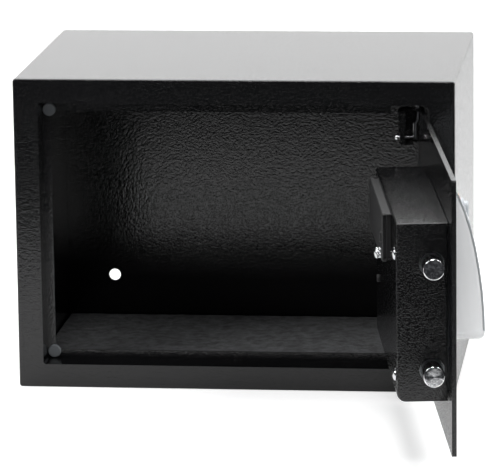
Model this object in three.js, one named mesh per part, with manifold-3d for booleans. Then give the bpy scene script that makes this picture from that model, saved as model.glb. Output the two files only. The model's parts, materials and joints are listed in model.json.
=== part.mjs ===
// A small digital safe with its door standing open, in millimetres, +Z up.
// The origin is the middle of the cabinet's underside. The door opening faces -Y.
// Every door piece is laid out with the door shut, and one turned group then opens the door.
import * as THREE from 'three';
import { mergeVertices } from 'three/addons/utils/BufferGeometryUtils.js';
import Module from 'manifold-3d';

const wasm = await Module();
wasm.setup();

// Fits shared by all pieces
const seam = 0.3;            // gap between two fixed pieces that touch
const runningGap = 0.5;      // gap between two pieces that slide or turn on each other
const overrun = 5;           // how far a cutting tool runs past the face that it opens
const doorAngle = 98.5;      // degrees that the door stands open
const fineEdge = 1;          // an edge rounding below this has one facet, others have two

// Cabinet
const cabinetWidth = 350;
const cabinetDepth = 250;
const cabinetHeight = 250;
const sheet = 1.5;
const bendRadius = 2.5;
const frontBendShare = 0.8;  // front edge's radius, as a share of the long bends'
const borderSide = 20;       // cabinet's outer side to the opening
const borderTop = 19;
const openingSill = 19;      // height of the opening's lower edge
const openingCorner = 2;
const anchorHole = 10;
const anchorInset = 41.5;    // back holes to the cabinet's sides
const anchorHeight = 38;
const baseAnchorInset = 55;  // base holes to the cabinet's sides

// Inner door frame, a folded ring behind the opening
const returnDepth = 24;      // front plane to the face that stops the door
const stopSide = 6.3;
const stopBottom = 6.7;
const stopTop = 10.6;
const hingeRelief = 32;      // how far from the hinge side the stop flange ends
const tabLength = 10.5;      // unfolded flange that carries the hinge pin

// Bumper pads on the free side of the stop flange
const padDiameter = 10.4;
const padThickness = 2.7;
const padDrop = 9;           // upper pad's centre below the opening's upper edge

// Felt mat on the cabinet floor
const matThickness = 3;
const matGap = 1;

// Door plate
const doorRecess = 17.5;     // front plane to the door's outer face
const doorThickness = 3.5;
const doorSideGap = 2.3;
const doorBottomGap = 2;
const doorTopGap = 6;
const doorCorner = 1.5;
const notchWidth = 14;       // cut-outs at the hinge corners, where the pins stand
const notchHeight = 15;

// Hinge
const pivotInset = 8;        // pin axis to the door's hinge-side edge
const pivotBehind = 4.3;     // pin axis behind the door's outer face
const pinDiameter = 5;
const pinCrank = 2.2;        // the pin's lower half stands this much further in
const pinReach = 2.3;        // pin end beyond the frame's face
const pinTail = 2.8;         // pin's other end to the bracket's end
const bushBody = 8.4;
const bushFlange = 12;
const bushFlangeThickness = 1;
const bracketHeight = 27.7;
const bracketWidth = 18.5;
const bracketDepth = 16.2;
const bracketSheet = 2.5;
const bracketLip = 4.6;
const bracketSide = 2.7;     // bracket's outer side to the door's hinge-side edge
const bracketRound = 3;
const earDepth = 20;         // how far the pin's ear reaches towards the front
const earHalfWidth = 5.4;
const pinScrewHead = 5.9;
const pinScrewHeadThickness = 3;
const pinScrewShank = 2.7;
const pinScrewStandoff = 0.6; // head's underside to the bracket

// Lock cover, a bent box on the door's inner face
const lockInset = 26;        // door's free edge to the cover
const lockFromHingeShare = 0.1988; // door's hinge-side edge to the cover, of its width
const lockDrop = 36;         // door's upper edge to the cover
const lockDepth = 38;
const lockRise = 35;         // door's lower edge to the cover
const lockSheet = 1.2;
const lockUpperBend = 2;
const lockLowerBend = 7;
const lockEndRound = 1.8;    // edges between the cover's back and its ends
const coverScrewDiameter = 9.3;
const coverScrewHeight = 2.5;
const coverScrewShank = 3.4;
const coverScrewLength = 6;
const coverScrewInset = 6;   // screw axis to the cover's end
const coverScrewLow = 20;
const coverScrewDrop = 23;   // cover's upper face to the upper screws

// Bolts and their carriage
const boltDiameter = 16;
const boltLength = 52;
const boltChamfer = 1.6;
const boltBehind = 12;       // bolt axis behind the door's inner face
const boltLowRise = 23.6;    // cover's underside to the lower bolt's axis
const boltHighDrop = 30.2;   // cover's upper face to the upper bolt's axis
const boltShort = 5;         // bolt tip to the door's free edge, drawn back
const boltTravel = 13;
const boltHoleGap = 1.2;
const boltSlotDepth = 9;
const carriageSheet = 2;
const carriagePost = 22;     // width of the upright that joins the two bolts
const carriageOverlap = 8;   // carriage inside the bolts' slots
const carriagePastBolt = 11; // bolt axis to the upright's end
const armHeight = 30;
const armBelowKnob = 16;
const armPastKnob = 14;

// Battery cover and its box
const batteryCoverMargin = 14.3; // end of the cells' box to the cover's end
const batteryCoverHeight = 36.5;
const batteryCoverThickness = 6.8;
const batteryCoverTop = 1.8; // its upper edge below the lock cover's upper face
const batteryCoverWall = 1.4;
const batteryAcrossShare = 0.5373; // cover's middle, along the lock cover
const batteryCoverRound = 2;
const batteryCoverLip = 3;   // thickness of its plate, which stands out over the skirt
const batteryCoverStep = 0.9;
const skirtWall = 0.9;
const endPocket = 2.6;       // how far the free end is hollowed
const pocketRib = 0.8;
const gripLength = 5;
const gripHeight = 8;
const gripProud = 1.5;
const thumbScrewHead = 8.2;
const thumbScrewHeadThickness = 2.8;
const thumbScrewShank = 4.2;
const thumbScrewStandoff = 2.8;
const thumbScrewCollar = 7.4;
const thumbScrewNeck = 0.6;  // between the head and the collar
const thumbScrewInset = 8;
const thumbScrewRise = 5.5;
const cellDiameter = 14.5;
const cellLength = 50.5;
const cellShow = 3.5;        // the cells stand this far out of the lock cover
const cellCap = 5.5;
const cellCapHeight = 1;
const cellGap = 0.4;
const contactRoom = 4;       // spring room at the ends of a row of cells
const trayWall = 0.9;
const trayRim = 1.5;         // the box's rim, proud of the lock cover

// Lock chassis, a bent channel that carries the works
const chassisSheet = 1.5;
const chassisEndGap = 2;     // chassis to the lock cover's ends
const chassisDrop = 9;       // lock cover's upper face to the chassis
const chassisRise = 8;       // lock cover's underside to the chassis
const chassisFlange = 12;

// Solenoid that blocks the carriage
const coilWidth = 17;
const coilHeight = 22;
const coilFrame = 1.6;
const plungerDiameter = 6;
const plungerTravel = 4;
const plungerShow = 9;       // plunger above the solenoid frame, at rest
const plungerHead = 8.4;
const plungerHeadHeight = 1.2;
const solenoidFromPost = 26;
const springWire = 0.5;
const springTurns = 3;

// Circuit board in the lock
const boardThickness = 1.6;
const boardStandoff = 2.2;
const boardMargin = 5;       // board to the pieces round it
const chipSize = 12;
const chipHeight = 2.4;
const buzzerDiameter = 12;
const buzzerHeight = 6;

// Fascia on the door's outer face
const fasciaWidthShare = 0.6058; // of the door's width
const fasciaHeight = 118.3;
const fasciaDrop = 14;       // door's upper edge to the fascia
const fasciaProud = 25.8;
const fasciaTopProud = 1.5;
const fasciaCorner = 8;
const fasciaLowRound = 7.5;
const fasciaWall = 2;
const facePanel = 1.2;
const faceUpperProudShare = 0.66;
const faceUpperHeightShare = 0.814;
const faceLowerProudShare = 0.992;
const faceLowerHeightShare = 0.383;
const fasciaScrew = 4;
const fasciaBoss = 8;
const fasciaBore = 3.2;
const fasciaBoreDepth = 8;
const fasciaScrewInset = 12;
const fasciaScrewDrop = 30;   // upper screws below the fascia's upper edge

// Keypad
const keyWidth = 12.5;
const keyHeight = 9.5;
const keyPitchAcross = 16.5;
const keyPitchDown = 14;
const keyRows = 4;
const keyColumns = 3;
const keyRound = 2;
const keyProud = 1.8;
const keyTravel = 1;
const keySkirt = 1;          // skirt's width round the key, behind the face
const keySkirtThickness = 1;
const keyEdge = 0.5;
const keypadAcrossShare = 0.3135; // middle column, from the fascia's free side
const keypadDropShare = 0.355; // of the fascia's height, along the face to the first row
const boardBehindKeys = 2.6;
const keyBoardThickness = 1.2;
const keyBoardMargin = 4;    // board past the outer keys' pitch, with a post at each corner
const keyPost = 3;

// Indicator lamps
const lampDiameter = 4;
const lampPitch = 12;
const lampDropShare = 0.186;
const lampProud = 0.3;
const lampBar = 2;           // thickness of the bar that joins the three lamps

// Turning knob and its spindle
const knobAcrossShare = 0.811; // knob's axis, from the fascia's free side
const knobHeightShare = 0.5;
const knobDiameter = 38;
const knobThickness = 15.5;
const knobLobes = 12;
const knobLobeDepth = 0.8;
const knobEdge = 1.6;
const knobBarWidth = 8;
const knobBarHeight = 3;
const knobBore = 8;          // how deep the spindle stands in the knob
const knobHub = 16;
const knobWellGap = 2;
const knobWellFloor = 11;    // floor of the well, in front of the fascia's back
const knobTurn = 90;         // degrees
const spindleDiameter = 8;
const crankDisc = 30;
const crankDiscThickness = 3;
const crankPin = 5;
const crankPinGap = 0.7;

// Emergency key lock and the swinging cover in front of it
const keyLockAcrossShare = 0.562;
const keyLockRiseShare = 0.203; // of the fascia's height, lower edge to the lock's axis
const keyLockDiameter = 18;
const keyLockLength = 44;
const keyLockRecess = 1;     // lock's front behind the face
const keyPlugDiameter = 10;
const keySlotWidth = 2;
const keySlotHeight = 7;
const keySlotDepth = 3;
const keyNutDiameter = 26;
const keyNutThickness = 3;
const keyCamLength = 17;
const keyCamWidth = 9;
const keyCamThickness = 1.8;
const keyTailDiameter = 5;
const keyCoverWidth = 23;
const keyCoverThickness = 2.6;
const keyCoverPivotRise = 21;
const keyCoverPin = 4;
const keyCoverPinLength = 4.5;
const keyCoverEdge = 0.6;

// Reset button on the lock cover
const resetDiameter = 6;
const resetProud = 1.2;
const resetTravel = 1;
const resetSkirt = 9;
const resetSkirtThickness = 1.2;
const resetStem = 4;
const resetSwitch = 4;       // height of the switch under the stem
const resetFromFarEnd = 24;
const resetHeightShare = 0.589; // of the circuit board's height

// Places worked out from the sizes above
const frontY = -cabinetDepth / 2;
const openingWidth = cabinetWidth - 2 * borderSide;
const openingHeight = cabinetHeight - openingSill - borderTop;
const openingTop = openingSill + openingHeight;
const openingSide = openingWidth / 2;
const stopY = frontY + returnDepth;
const doorOuterY = frontY + doorRecess;
const doorInnerY = doorOuterY + doorThickness;
const doorRight = openingSide - doorSideGap;
const doorWidth = openingWidth - 2 * doorSideGap;
const doorLeft = doorRight - doorWidth;
const doorBottom = openingSill + doorBottomGap;
const doorTop = openingTop - doorTopGap;
const doorMiddleZ = (doorBottom + doorTop) / 2;
const pivotX = doorRight - pivotInset;
const pivotY = doorOuterY + pivotBehind;
const lockLeft = doorLeft + lockInset;
const lockRight = doorRight - doorWidth * lockFromHingeShare;
const lockBottom = doorBottom + lockRise;
const lockTop = doorTop - lockDrop;
const lockBackY = doorInnerY + lockDepth;
const boltY = doorInnerY + boltBehind;
const boltTipX = doorLeft + boltShort;
const boltZ = [lockBottom + boltLowRise, lockTop - boltHighDrop];
const fasciaWidth = doorWidth * fasciaWidthShare;
const fasciaLeft = (doorLeft + doorRight - fasciaWidth) / 2;
const fasciaRight = fasciaLeft + fasciaWidth;
const fasciaTop = doorTop - fasciaDrop;
const fasciaBottom = fasciaTop - fasciaHeight;
const fasciaBackY = doorOuterY - seam;
const keypadX = fasciaLeft + fasciaWidth * keypadAcrossShare;
const knobX = fasciaLeft + fasciaWidth * knobAcrossShare;
const knobZ = fasciaBottom + fasciaHeight * knobHeightShare;
const keyLockX = fasciaLeft + fasciaWidth * keyLockAcrossShare;
const keyLockZ = fasciaBottom + fasciaHeight * keyLockRiseShare;
const chassisLeft = lockLeft + lockSheet + chassisEndGap;
const chassisRight = lockRight - lockSheet - chassisEndGap;
const chassisBaseY = doorInnerY + seam;
const chassisFloorY = chassisBaseY + chassisSheet;
const chassisTopY = lockBackY - lockSheet - seam;
const chassisBottom = lockBottom + chassisRise;
const chassisTop = lockTop - chassisDrop;
const carriageFrontY = boltY - carriageSheet / 2;
const carriageBackY = boltY + carriageSheet / 2;
const crankArm = boltTravel / (2 * Math.sin(THREE.MathUtils.degToRad(knobTurn / 2)));
const boardLeft = keyLockX + keyNutDiameter / 2 + boardMargin;
const boardRight = chassisRight - chassisSheet - boardMargin;
const boardLow = chassisBottom + boardMargin;
const boardHigh = knobZ - crankDisc / 2 - boardMargin;

// Round pieces get more sides the larger they are
const sides = (diameter) => {
  if (diameter < 2 * pinDiameter) return 12;
  return diameter < boltDiameter ? 20 : 28;
};

// Solids and meshes
function solid(geometry) {
  const bare = geometry.clone();
  bare.deleteAttribute('normal');
  bare.deleteAttribute('uv');
  const merged = mergeVertices(bare, 1e-5);
  const vertProperties = new Float32Array(merged.attributes.position.array);
  const triVerts = new Uint32Array(merged.index.array);
  return new wasm.Manifold(new wasm.Mesh({ numProp: 3, vertProperties, triVerts }));
}

function shell(body) {
  const { vertProperties, triVerts } = body.getMesh();
  const geometry = new THREE.BufferGeometry();
  geometry.setAttribute('position', new THREE.BufferAttribute(vertProperties, 3));
  geometry.setIndex(new THREE.BufferAttribute(triVerts, 1));
  geometry.computeVertexNormals();
  return geometry;
}

// A copy of a solid, moved, turned or mirrored by a matrix
function moved(body, matrix) {
  const geometry = shell(body).applyMatrix4(matrix);
  if (matrix.determinant() < 0) {
    const { array } = geometry.index;
    for (let i = 0; i < array.length; i += 3) {
      [array[i], array[i + 1]] = [array[i + 1], array[i]];
    }
  }
  return solid(geometry);
}

const cut = (body, ...tools) => tools.reduce((left, tool) => left.subtract(tool), body);
const join = (body, ...more) => more.reduce((left, piece) => left.add(piece), body);

// A rectangle with round corners, from its lowest corner
function roundedRect(x, y, width, height, radius) {
  const shape = new THREE.Shape();
  const r = Math.min(radius, width / 2, height / 2);
  shape.moveTo(x + r, y);
  shape.lineTo(x + width - r, y);
  shape.absarc(x + width - r, y + r, r, -Math.PI / 2, 0);
  shape.lineTo(x + width, y + height - r);
  shape.absarc(x + width - r, y + height - r, r, 0, Math.PI / 2);
  shape.lineTo(x + r, y + height);
  shape.absarc(x + r, y + height - r, r, Math.PI / 2, Math.PI);
  shape.lineTo(x, y + r);
  shape.absarc(x + r, y + r, r, Math.PI, Math.PI * 1.5);
  return shape;
}

const polygon = (points) => new THREE.Shape(points.map(([x, y]) => new THREE.Vector2(x, y)));

function extrude(shape, depth, edge = 0, curveSegments = 4) {
  return new THREE.ExtrudeGeometry(shape, {
    depth: depth - 2 * edge,
    curveSegments,
    bevelEnabled: edge > 0,
    bevelThickness: edge,
    bevelSize: edge,
    bevelOffset: -edge,
    bevelSegments: edge < fineEdge ? 1 : 2,
  }).translate(0, 0, edge);
}

// A shape drawn in X and Z, made solid from y0 to y1
function slab(shape, y0, y1, edge = 0, curveSegments = 4) {
  return solid(extrude(shape, y1 - y0, edge, curveSegments).rotateX(Math.PI / 2).translate(0, y1, 0));
}

// A shape drawn in X and Y, made solid from z0 to z1
function column(shape, z0, z1, edge = 0, curveSegments = 4) {
  return solid(extrude(shape, z1 - z0, edge, curveSegments).translate(0, 0, z0));
}

// A shape drawn in Y and Z, made solid from x0 to x1
function beam(shape, x0, x1, edge = 0, curveSegments = 4) {
  const turn = new THREE.Matrix4().makeBasis(
    new THREE.Vector3(0, 1, 0), new THREE.Vector3(0, 0, 1), new THREE.Vector3(1, 0, 0));
  return solid(extrude(shape, x1 - x0, edge, curveSegments).applyMatrix4(turn).translate(x0, 0, 0));
}

function block(x0, x1, y0, y1, z0, z1) {
  const box = new THREE.BoxGeometry(x1 - x0, y1 - y0, z1 - z0);
  return solid(box.translate((x0 + x1) / 2, (y0 + y1) / 2, (z0 + z1) / 2));
}

// A turned piece: its profile is a list of [radius, place along the axis] pairs
function turned(profile, axis, x, y, z) {
  const widest = Math.max(...profile.map(([radius]) => radius));
  const points = profile.map(([radius, along]) => new THREE.Vector2(radius, along));
  const lathe = new THREE.LatheGeometry(points, sides(2 * widest));
  if (axis === 'x') lathe.rotateZ(-Math.PI / 2);
  if (axis === 'z') lathe.rotateX(Math.PI / 2);
  return solid(lathe.translate(x, y, z));
}

// A plain round bar from start to end along one axis
function rod(diameter, axis, start, end, across, up) {
  const radius = diameter / 2;
  const profile = [[0, start], [radius, start], [radius, end], [0, end]];
  if (axis === 'x') return turned(profile, 'x', 0, across, up);
  if (axis === 'y') return turned(profile, 'y', across, 0, up);
  return turned(profile, 'z', across, up, 0);
}

// Finishes
const finish = (color, roughness, metalness) =>
  new THREE.MeshStandardMaterial({ color, roughness, metalness });
const blackCoat = finish(0x17181a, 0.5, 0.1);
const brightSteel = finish(0xc9ccd0, 0.22, 1);
const zincSteel = finish(0xb4b7ba, 0.4, 1);
const greyRubber = finish(0x6f7276, 0.8, 0);
const feltGrey = finish(0x3b3c3d, 0.95, 0);
const blackPlastic = finish(0x1c1c1d, 0.45, 0);
const silverPlastic = finish(0xdcdde0, 0.35, 0.2);
const facePlastic = finish(0x9da1a6, 0.35, 0.3);
const keyPlastic = finish(0xe4e5e6, 0.45, 0);
const boardGreen = finish(0x1f5a35, 0.5, 0);
const copper = finish(0xb06a3a, 0.45, 0.9);
const brass = finish(0xc8a45a, 0.35, 1);
const cellSleeve = finish(0x5b6470, 0.4, 0);
const lampRed = finish(0xc8463a, 0.3, 0);

const safe = new THREE.Group();
const swing = new THREE.Group();
const doorGroup = new THREE.Group();
swing.position.set(pivotX, pivotY, 0);
swing.rotation.z = THREE.MathUtils.degToRad(doorAngle);
doorGroup.position.set(-pivotX, -pivotY, 0);
swing.add(doorGroup);
safe.add(swing);

function place(group, name, body, material) {
  const mesh = new THREE.Mesh(shell(body), material);
  mesh.name = name;
  group.add(mesh);
}

// Cabinet shell: one bent sheet with the front border folded in
function bodyShell() {
  const outline = roundedRect(-cabinetWidth / 2, 0, cabinetWidth, cabinetHeight, bendRadius);
  const whole = slab(outline, frontY, cabinetDepth / 2 + bendRadius, bendRadius * frontBendShare, 3);
  const trim = block(-cabinetWidth, cabinetWidth, frontY - overrun, cabinetDepth / 2, -overrun,
    cabinetHeight + overrun);
  const inside = roundedRect(-cabinetWidth / 2 + sheet, sheet, cabinetWidth - 2 * sheet,
    cabinetHeight - 2 * sheet, bendRadius - sheet);
  const room = slab(inside, frontY + sheet, cabinetDepth / 2 + overrun, 0, 3);
  const mouth = roundedRect(-openingSide, openingSill, openingWidth, openingHeight, openingCorner);
  const opening = slab(mouth, frontY - overrun, frontY + overrun);
  const anchors = [-1, 1].map((side) =>
    rod(anchorHole, 'z', -overrun, sheet + overrun, side * (cabinetWidth / 2 - baseAnchorInset),
      0));
  return cut(whole.intersect(trim), room, opening, ...anchors);
}

// Door frame: return wall, stop flange, and the two unfolded tabs that carry the pins
function doorFrame() {
  const startY = frontY + sheet;
  const backY = stopY + sheet;
  const outer = roundedRect(-openingSide - sheet, openingSill - sheet, openingWidth + 2 * sheet,
    openingHeight + 2 * sheet, openingCorner + sheet);
  const inner = roundedRect(-openingSide, openingSill, openingWidth, openingHeight, openingCorner);
  const ring = cut(slab(outer, startY, backY), slab(inner, startY - overrun, stopY));
  const reliefX = openingSide - hingeRelief;
  const lowEdge = openingSill + stopBottom;
  const highEdge = openingTop - stopTop;
  const window = polygon([
    [-openingSide + stopSide, lowEdge], [reliefX, lowEdge], [reliefX, openingSill],
    [openingSide, openingSill], [openingSide, openingTop], [reliefX, openingTop],
    [reliefX, highEdge], [-openingSide + stopSide, highEdge]]);
  const tabs = [openingSill - sheet, openingTop].map((z) =>
    block(reliefX + seam, openingSide - openingCorner, stopY, backY + tabLength, z, z + sheet));
  const bushHoles = rod(bushBody + 2 * seam, 'z', openingSill - overrun, openingTop + overrun,
    pivotX, pivotY);
  return cut(join(cut(ring, slab(window, stopY - overrun, backY + overrun)), ...tabs), bushHoles);
}

function backPanel() {
  const outline = roundedRect(-cabinetWidth / 2 + sheet, sheet, cabinetWidth - 2 * sheet,
    cabinetHeight - 2 * sheet, bendRadius - sheet);
  const backY = cabinetDepth / 2;
  const anchors = [-1, 1].map((side) =>
    rod(anchorHole, 'y', backY - sheet - overrun, backY + overrun,
      side * (cabinetWidth / 2 - anchorInset), anchorHeight));
  return cut(slab(outline, backY - sheet, backY, 0, 3), ...anchors);
}

function floorMat() {
  const edge = sheet + matGap;
  const outline = roundedRect(-cabinetWidth / 2 + edge, frontY + edge, cabinetWidth - 2 * edge,
    cabinetDepth - 2 * edge, bendRadius);
  return column(outline, sheet, sheet + matThickness);
}

function bumperPad(z) {
  const radius = padDiameter / 2;
  const edge = padThickness / 4;
  const profile = [[0, -padThickness], [radius - edge, -padThickness],
    [radius, -padThickness + edge], [radius, 0], [0, 0]];
  return turned(profile, 'y', -openingSide + seam + radius, stopY, z);
}

// A flanged bush in the frame's hole, pointing up (side 1) or down (side -1)
function pivotBush(side) {
  const wallZ = side > 0 ? openingTop : openingSill;
  const bore = pinDiameter / 2 + seam;
  const profile = [[bore, -bushFlangeThickness], [bushFlange / 2, -bushFlangeThickness],
    [bushFlange / 2, 0], [bushBody / 2, 0], [bushBody / 2, sheet + seam], [bore, sheet + seam],
    [bore, -bushFlangeThickness]];
  const facing = profile.map(([radius, along]) => [radius, side * along]);
  return turned(side > 0 ? facing : facing.reverse(), 'z', pivotX, pivotY, wallZ);
}

place(safe, 'body_shell', bodyShell(), blackCoat);
place(safe, 'door_frame', doorFrame(), blackCoat);
place(safe, 'back_panel', backPanel(), blackCoat);
place(safe, 'floor_mat', floorMat(), feltGrey);
place(safe, 'bumper_pad_upper', bumperPad(openingTop - padDrop), greyRubber);
place(safe, 'bumper_pad_lower', bumperPad(openingSill + seam + padDiameter / 2), greyRubber);
place(safe, 'pivot_bush_upper', pivotBush(1), blackPlastic);
place(safe, 'pivot_bush_lower', pivotBush(-1), blackPlastic);

// Door plate, with a notch at each hinge corner
function doorPlate() {
  const r = doorCorner;
  const notchX = doorRight - notchWidth;
  const outline = new THREE.Shape();
  outline.moveTo(doorLeft + r, doorBottom);
  outline.lineTo(notchX, doorBottom);
  outline.lineTo(notchX, doorBottom + notchHeight);
  outline.lineTo(doorRight, doorBottom + notchHeight);
  outline.lineTo(doorRight, doorTop - notchHeight);
  outline.lineTo(notchX, doorTop - notchHeight);
  outline.lineTo(notchX, doorTop);
  outline.lineTo(doorLeft + r, doorTop);
  outline.absarc(doorLeft + r, doorTop - r, r, Math.PI / 2, Math.PI);
  outline.lineTo(doorLeft, doorBottom + r);
  outline.absarc(doorLeft + r, doorBottom + r, r, Math.PI, Math.PI * 1.5);
  const drill = (diameter, x, z) =>
    rod(diameter, 'y', doorOuterY - overrun, doorInnerY + overrun, x, z);
  const screwHoles = fasciaScrewPlaces().map(([x, z]) => drill(fasciaScrew + 2 * seam, x, z));
  return cut(slab(outline, doorOuterY, doorInnerY),
    drill(spindleDiameter + 2 * runningGap, knobX, knobZ),
    drill(keyLockDiameter + 2 * seam, keyLockX, keyLockZ),
    drill(keyHeight, keypadX, doorMiddleZ), ...screwHoles);
}

function fasciaScrewPlaces() {
  const xs = [fasciaLeft + fasciaScrewInset, fasciaRight - fasciaScrewInset];
  const zs = [fasciaBottom + fasciaScrewInset, fasciaTop - fasciaScrewDrop];
  return xs.flatMap((x) => zs.map((z) => [x, z]));
}

// Hinge bracket, drawn for the upper hinge: a bent channel with an ear for the pin
const bracketRight = doorRight - bracketSide;
const bracketLeft = bracketRight - bracketWidth;
const bracketFrontY = doorInnerY + seam;
const bracketBackY = bracketFrontY + bracketDepth;
const bracketTop = doorTop + bushFlangeThickness - seam;
const bracketBottom = bracketTop - bracketHeight;
const pinScrewZ = bracketBottom + pinTail + pinScrewShank / 2 + seam;

function hingeBracket() {
  const t = bracketSheet;
  const section = polygon([
    [bracketRight - t, bracketFrontY], [bracketRight, bracketFrontY],
    [bracketRight, bracketBackY], [bracketLeft, bracketBackY],
    [bracketLeft, bracketBackY - bracketLip], [bracketLeft + t, bracketBackY - bracketLip],
    [bracketLeft + t, bracketBackY - t], [bracketRight - t, bracketBackY - t]]);
  const channel = column(section, bracketBottom, bracketTop);
  const foot = block(bracketLeft + t, bracketRight, bracketFrontY + pinDiameter, bracketBackY,
    bracketBottom, bracketBottom + t / 2);
  const ear = block(pivotX - earHalfWidth, bracketRight, bracketBackY - earDepth, bracketBackY,
    bracketTop - t, bracketTop);
  const rounding = roundedRect(frontY, bracketBottom, bracketBackY - frontY,
    bracketTop - bracketBottom, bracketRound);
  const rounded = join(channel, foot, ear).intersect(beam(rounding, bracketLeft, bracketRight));
  const pinHole = rod(pinDiameter + 2 * seam, 'z', bracketTop - t - overrun, bracketTop + overrun,
    pivotX, pivotY);
  const slotWidth = pinScrewShank + 2 * seam;
  const slot = slab(roundedRect(pivotX - slotWidth / 2, pinScrewZ - slotWidth / 2, slotWidth,
    bracketHeight / 2, slotWidth / 2), bracketBackY - t - overrun, bracketBackY + overrun);
  return cut(rounded, pinHole, slot);
}

// Hinge pin: a round bar, cranked so that its lower half clears the door plate
function hingePin() {
  const crankZ = doorTop - notchHeight + pinDiameter;
  const low = bracketBottom + pinTail;
  const high = openingTop + pinReach;
  const at = (inward, z) => new THREE.Vector3(pivotX, pivotY + inward, z);
  const bendTop = crankZ + pinCrank;
  const bendLow = crankZ - pinCrank;
  const bend = new THREE.CubicBezierCurve3(at(0, bendTop), at(0, crankZ), at(pinCrank, crankZ),
    at(pinCrank, bendLow));
  const radius = pinDiameter / 2;
  const bendSteps = 6;
  return loft([at(0, high), ...bend.getPoints(bendSteps), at(pinCrank, low)], radius,
    sides(pinDiameter));
}

// A round bar through a list of centres, each section level with X and Y
function loft(centres, radius, count) {
  const positions = [];
  const index = [];
  centres.forEach((centre) => {
    for (let i = 0; i < count; i += 1) {
      const angle = 2 * Math.PI * i / count;
      positions.push(centre.x + radius * Math.cos(angle), centre.y + radius * Math.sin(angle),
        centre.z);
    }
  });
  const top = centres.length * count;
  const last = centres[centres.length - 1];
  positions.push(centres[0].x, centres[0].y, centres[0].z, last.x, last.y, last.z);
  for (let i = 0; i < count; i += 1) {
    const next = (i + 1) % count;
    for (let ring = 0; ring < centres.length - 1; ring += 1) {
      const a = ring * count + i;
      const b = ring * count + next;
      index.push(a, a + count, b, b, a + count, b + count);
    }
    const end = (centres.length - 1) * count;
    index.push(top, i, next, top + 1, end + next, end + i);
  }
  const geometry = new THREE.BufferGeometry();
  geometry.setAttribute('position', new THREE.Float32BufferAttribute(positions, 3));
  geometry.setIndex(index);
  return solid(geometry);
}

function pinScrew() {
  const tipY = pivotY + pinCrank + pinDiameter / 2 + seam;
  const headY = bracketBackY + pinScrewStandoff;
  const head = pinScrewHead / 2;
  const crown = pinScrewHeadThickness / 3;
  const profile = [[0, tipY], [pinScrewShank / 2, tipY], [pinScrewShank / 2, headY],
    [head, headY], [head, headY + pinScrewHeadThickness - crown],
    [head - crown, headY + pinScrewHeadThickness], [0, headY + pinScrewHeadThickness]];
  return turned(profile, 'y', pivotX, 0, pinScrewZ);
}

// The lower hinge is the upper one turned upside down about the door's middle
const flip = new THREE.Matrix4().makeScale(1, 1, -1).setPosition(0, 0, 2 * doorMiddleZ);
const upsideDown = (body) => moved(body, flip);

// The door sits nearer the sill than the top, so the lower pin is the shorter one
function lowerPin() {
  const excess = block(pivotX - pinDiameter, pivotX + pinDiameter, pivotY - pinDiameter,
    pivotY + pinDiameter, -openingSill, openingSill - pinReach);
  return cut(upsideDown(hingePin()), excess);
}

place(doorGroup, 'door_plate', doorPlate(), blackCoat);
place(doorGroup, 'hinge_bracket_upper', hingeBracket(), blackCoat);
place(doorGroup, 'hinge_bracket_lower', upsideDown(hingeBracket()), blackCoat);
place(doorGroup, 'hinge_pin_upper', hingePin(), brightSteel);
place(doorGroup, 'hinge_pin_lower', lowerPin(), brightSteel);
place(doorGroup, 'hinge_pin_screw_upper', pinScrew(), brightSteel);
place(doorGroup, 'hinge_pin_screw_lower', upsideDown(pinScrew()), brightSteel);

// Lock cover: the section through its bends, shrunk by an inset for its inside
function coverSection(inset, openY) {
  const low = lockLowerBend - inset;
  const high = Math.max(lockUpperBend - inset, seam);
  const backY = lockBackY - inset;
  const bottom = lockBottom + inset;
  const top = lockTop - inset;
  const section = new THREE.Shape();
  section.moveTo(openY, bottom);
  section.lineTo(backY - low, bottom);
  section.absarc(backY - low, bottom + low, low, -Math.PI / 2, 0);
  section.lineTo(backY, top - high);
  section.absarc(backY - high, top - high, high, 0, Math.PI / 2);
  section.lineTo(openY, top);
  return section;
}

const coverScrewPlaces = [lockBottom + coverScrewLow, lockTop - coverScrewDrop].map((z) =>
  [lockLeft + coverScrewInset, z]);
const batteryMiddleX = lockLeft + (lockRight - lockLeft) * batteryAcrossShare;
const trayLength = 2 * (cellLength + contactRoom + trayWall);
const batteryCoverLength = trayLength + 2 * batteryCoverMargin;
const batteryCoverLeft = batteryMiddleX - batteryCoverLength / 2;
const batteryCoverHigh = lockTop - batteryCoverTop;
const batteryCoverLow = batteryCoverHigh - batteryCoverHeight;
const thumbScrewX = batteryCoverLeft + thumbScrewInset;
const thumbScrewZ = batteryCoverLow + thumbScrewRise;
const trayHeight = 2 * cellDiameter + 3 * cellGap + 2 * trayWall;
const trayLeft = batteryMiddleX - trayLength / 2;
const trayMiddleZ = (batteryCoverLow + batteryCoverHigh) / 2 + seam;
const trayLow = trayMiddleZ - trayHeight / 2;
const cellY = lockBackY + cellShow - cellDiameter / 2;
const trayFrontY = cellY - cellDiameter / 2 - cellGap - trayWall;
const resetX = lockRight - resetFromFarEnd;
const resetZ = boardLow + (boardHigh - boardLow) * resetHeightShare;

function lockCover() {
  const startY = doorInnerY + seam;
  const outside = beam(coverSection(0, startY), lockLeft, lockRight, lockEndRound);
  const inside = beam(coverSection(lockSheet, startY - overrun), lockLeft + lockSheet,
    lockRight - lockSheet);
  const drill = (diameter, x, z) =>
    rod(diameter, 'y', lockBackY - overrun, lockBackY + overrun, x, z);
  const boltHoles = boltZ.map((z) =>
    rod(boltDiameter + 2 * boltHoleGap, 'x', lockLeft - overrun, lockLeft + overrun, boltY, z));
  const screwHoles = coverScrewPlaces.map(([x, z]) => drill(coverScrewShank + 2 * seam, x, z));
  const window = block(trayLeft - seam, trayLeft + trayLength + seam, lockBackY - overrun,
    lockBackY + overrun, trayLow - seam, trayLow + trayHeight + seam);
  return cut(outside, inside, window, drill(thumbScrewShank + 2 * seam, thumbScrewX, thumbScrewZ),
    drill(resetDiameter + 2 * seam, resetX, resetZ), ...boltHoles, ...screwHoles);
}

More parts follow.
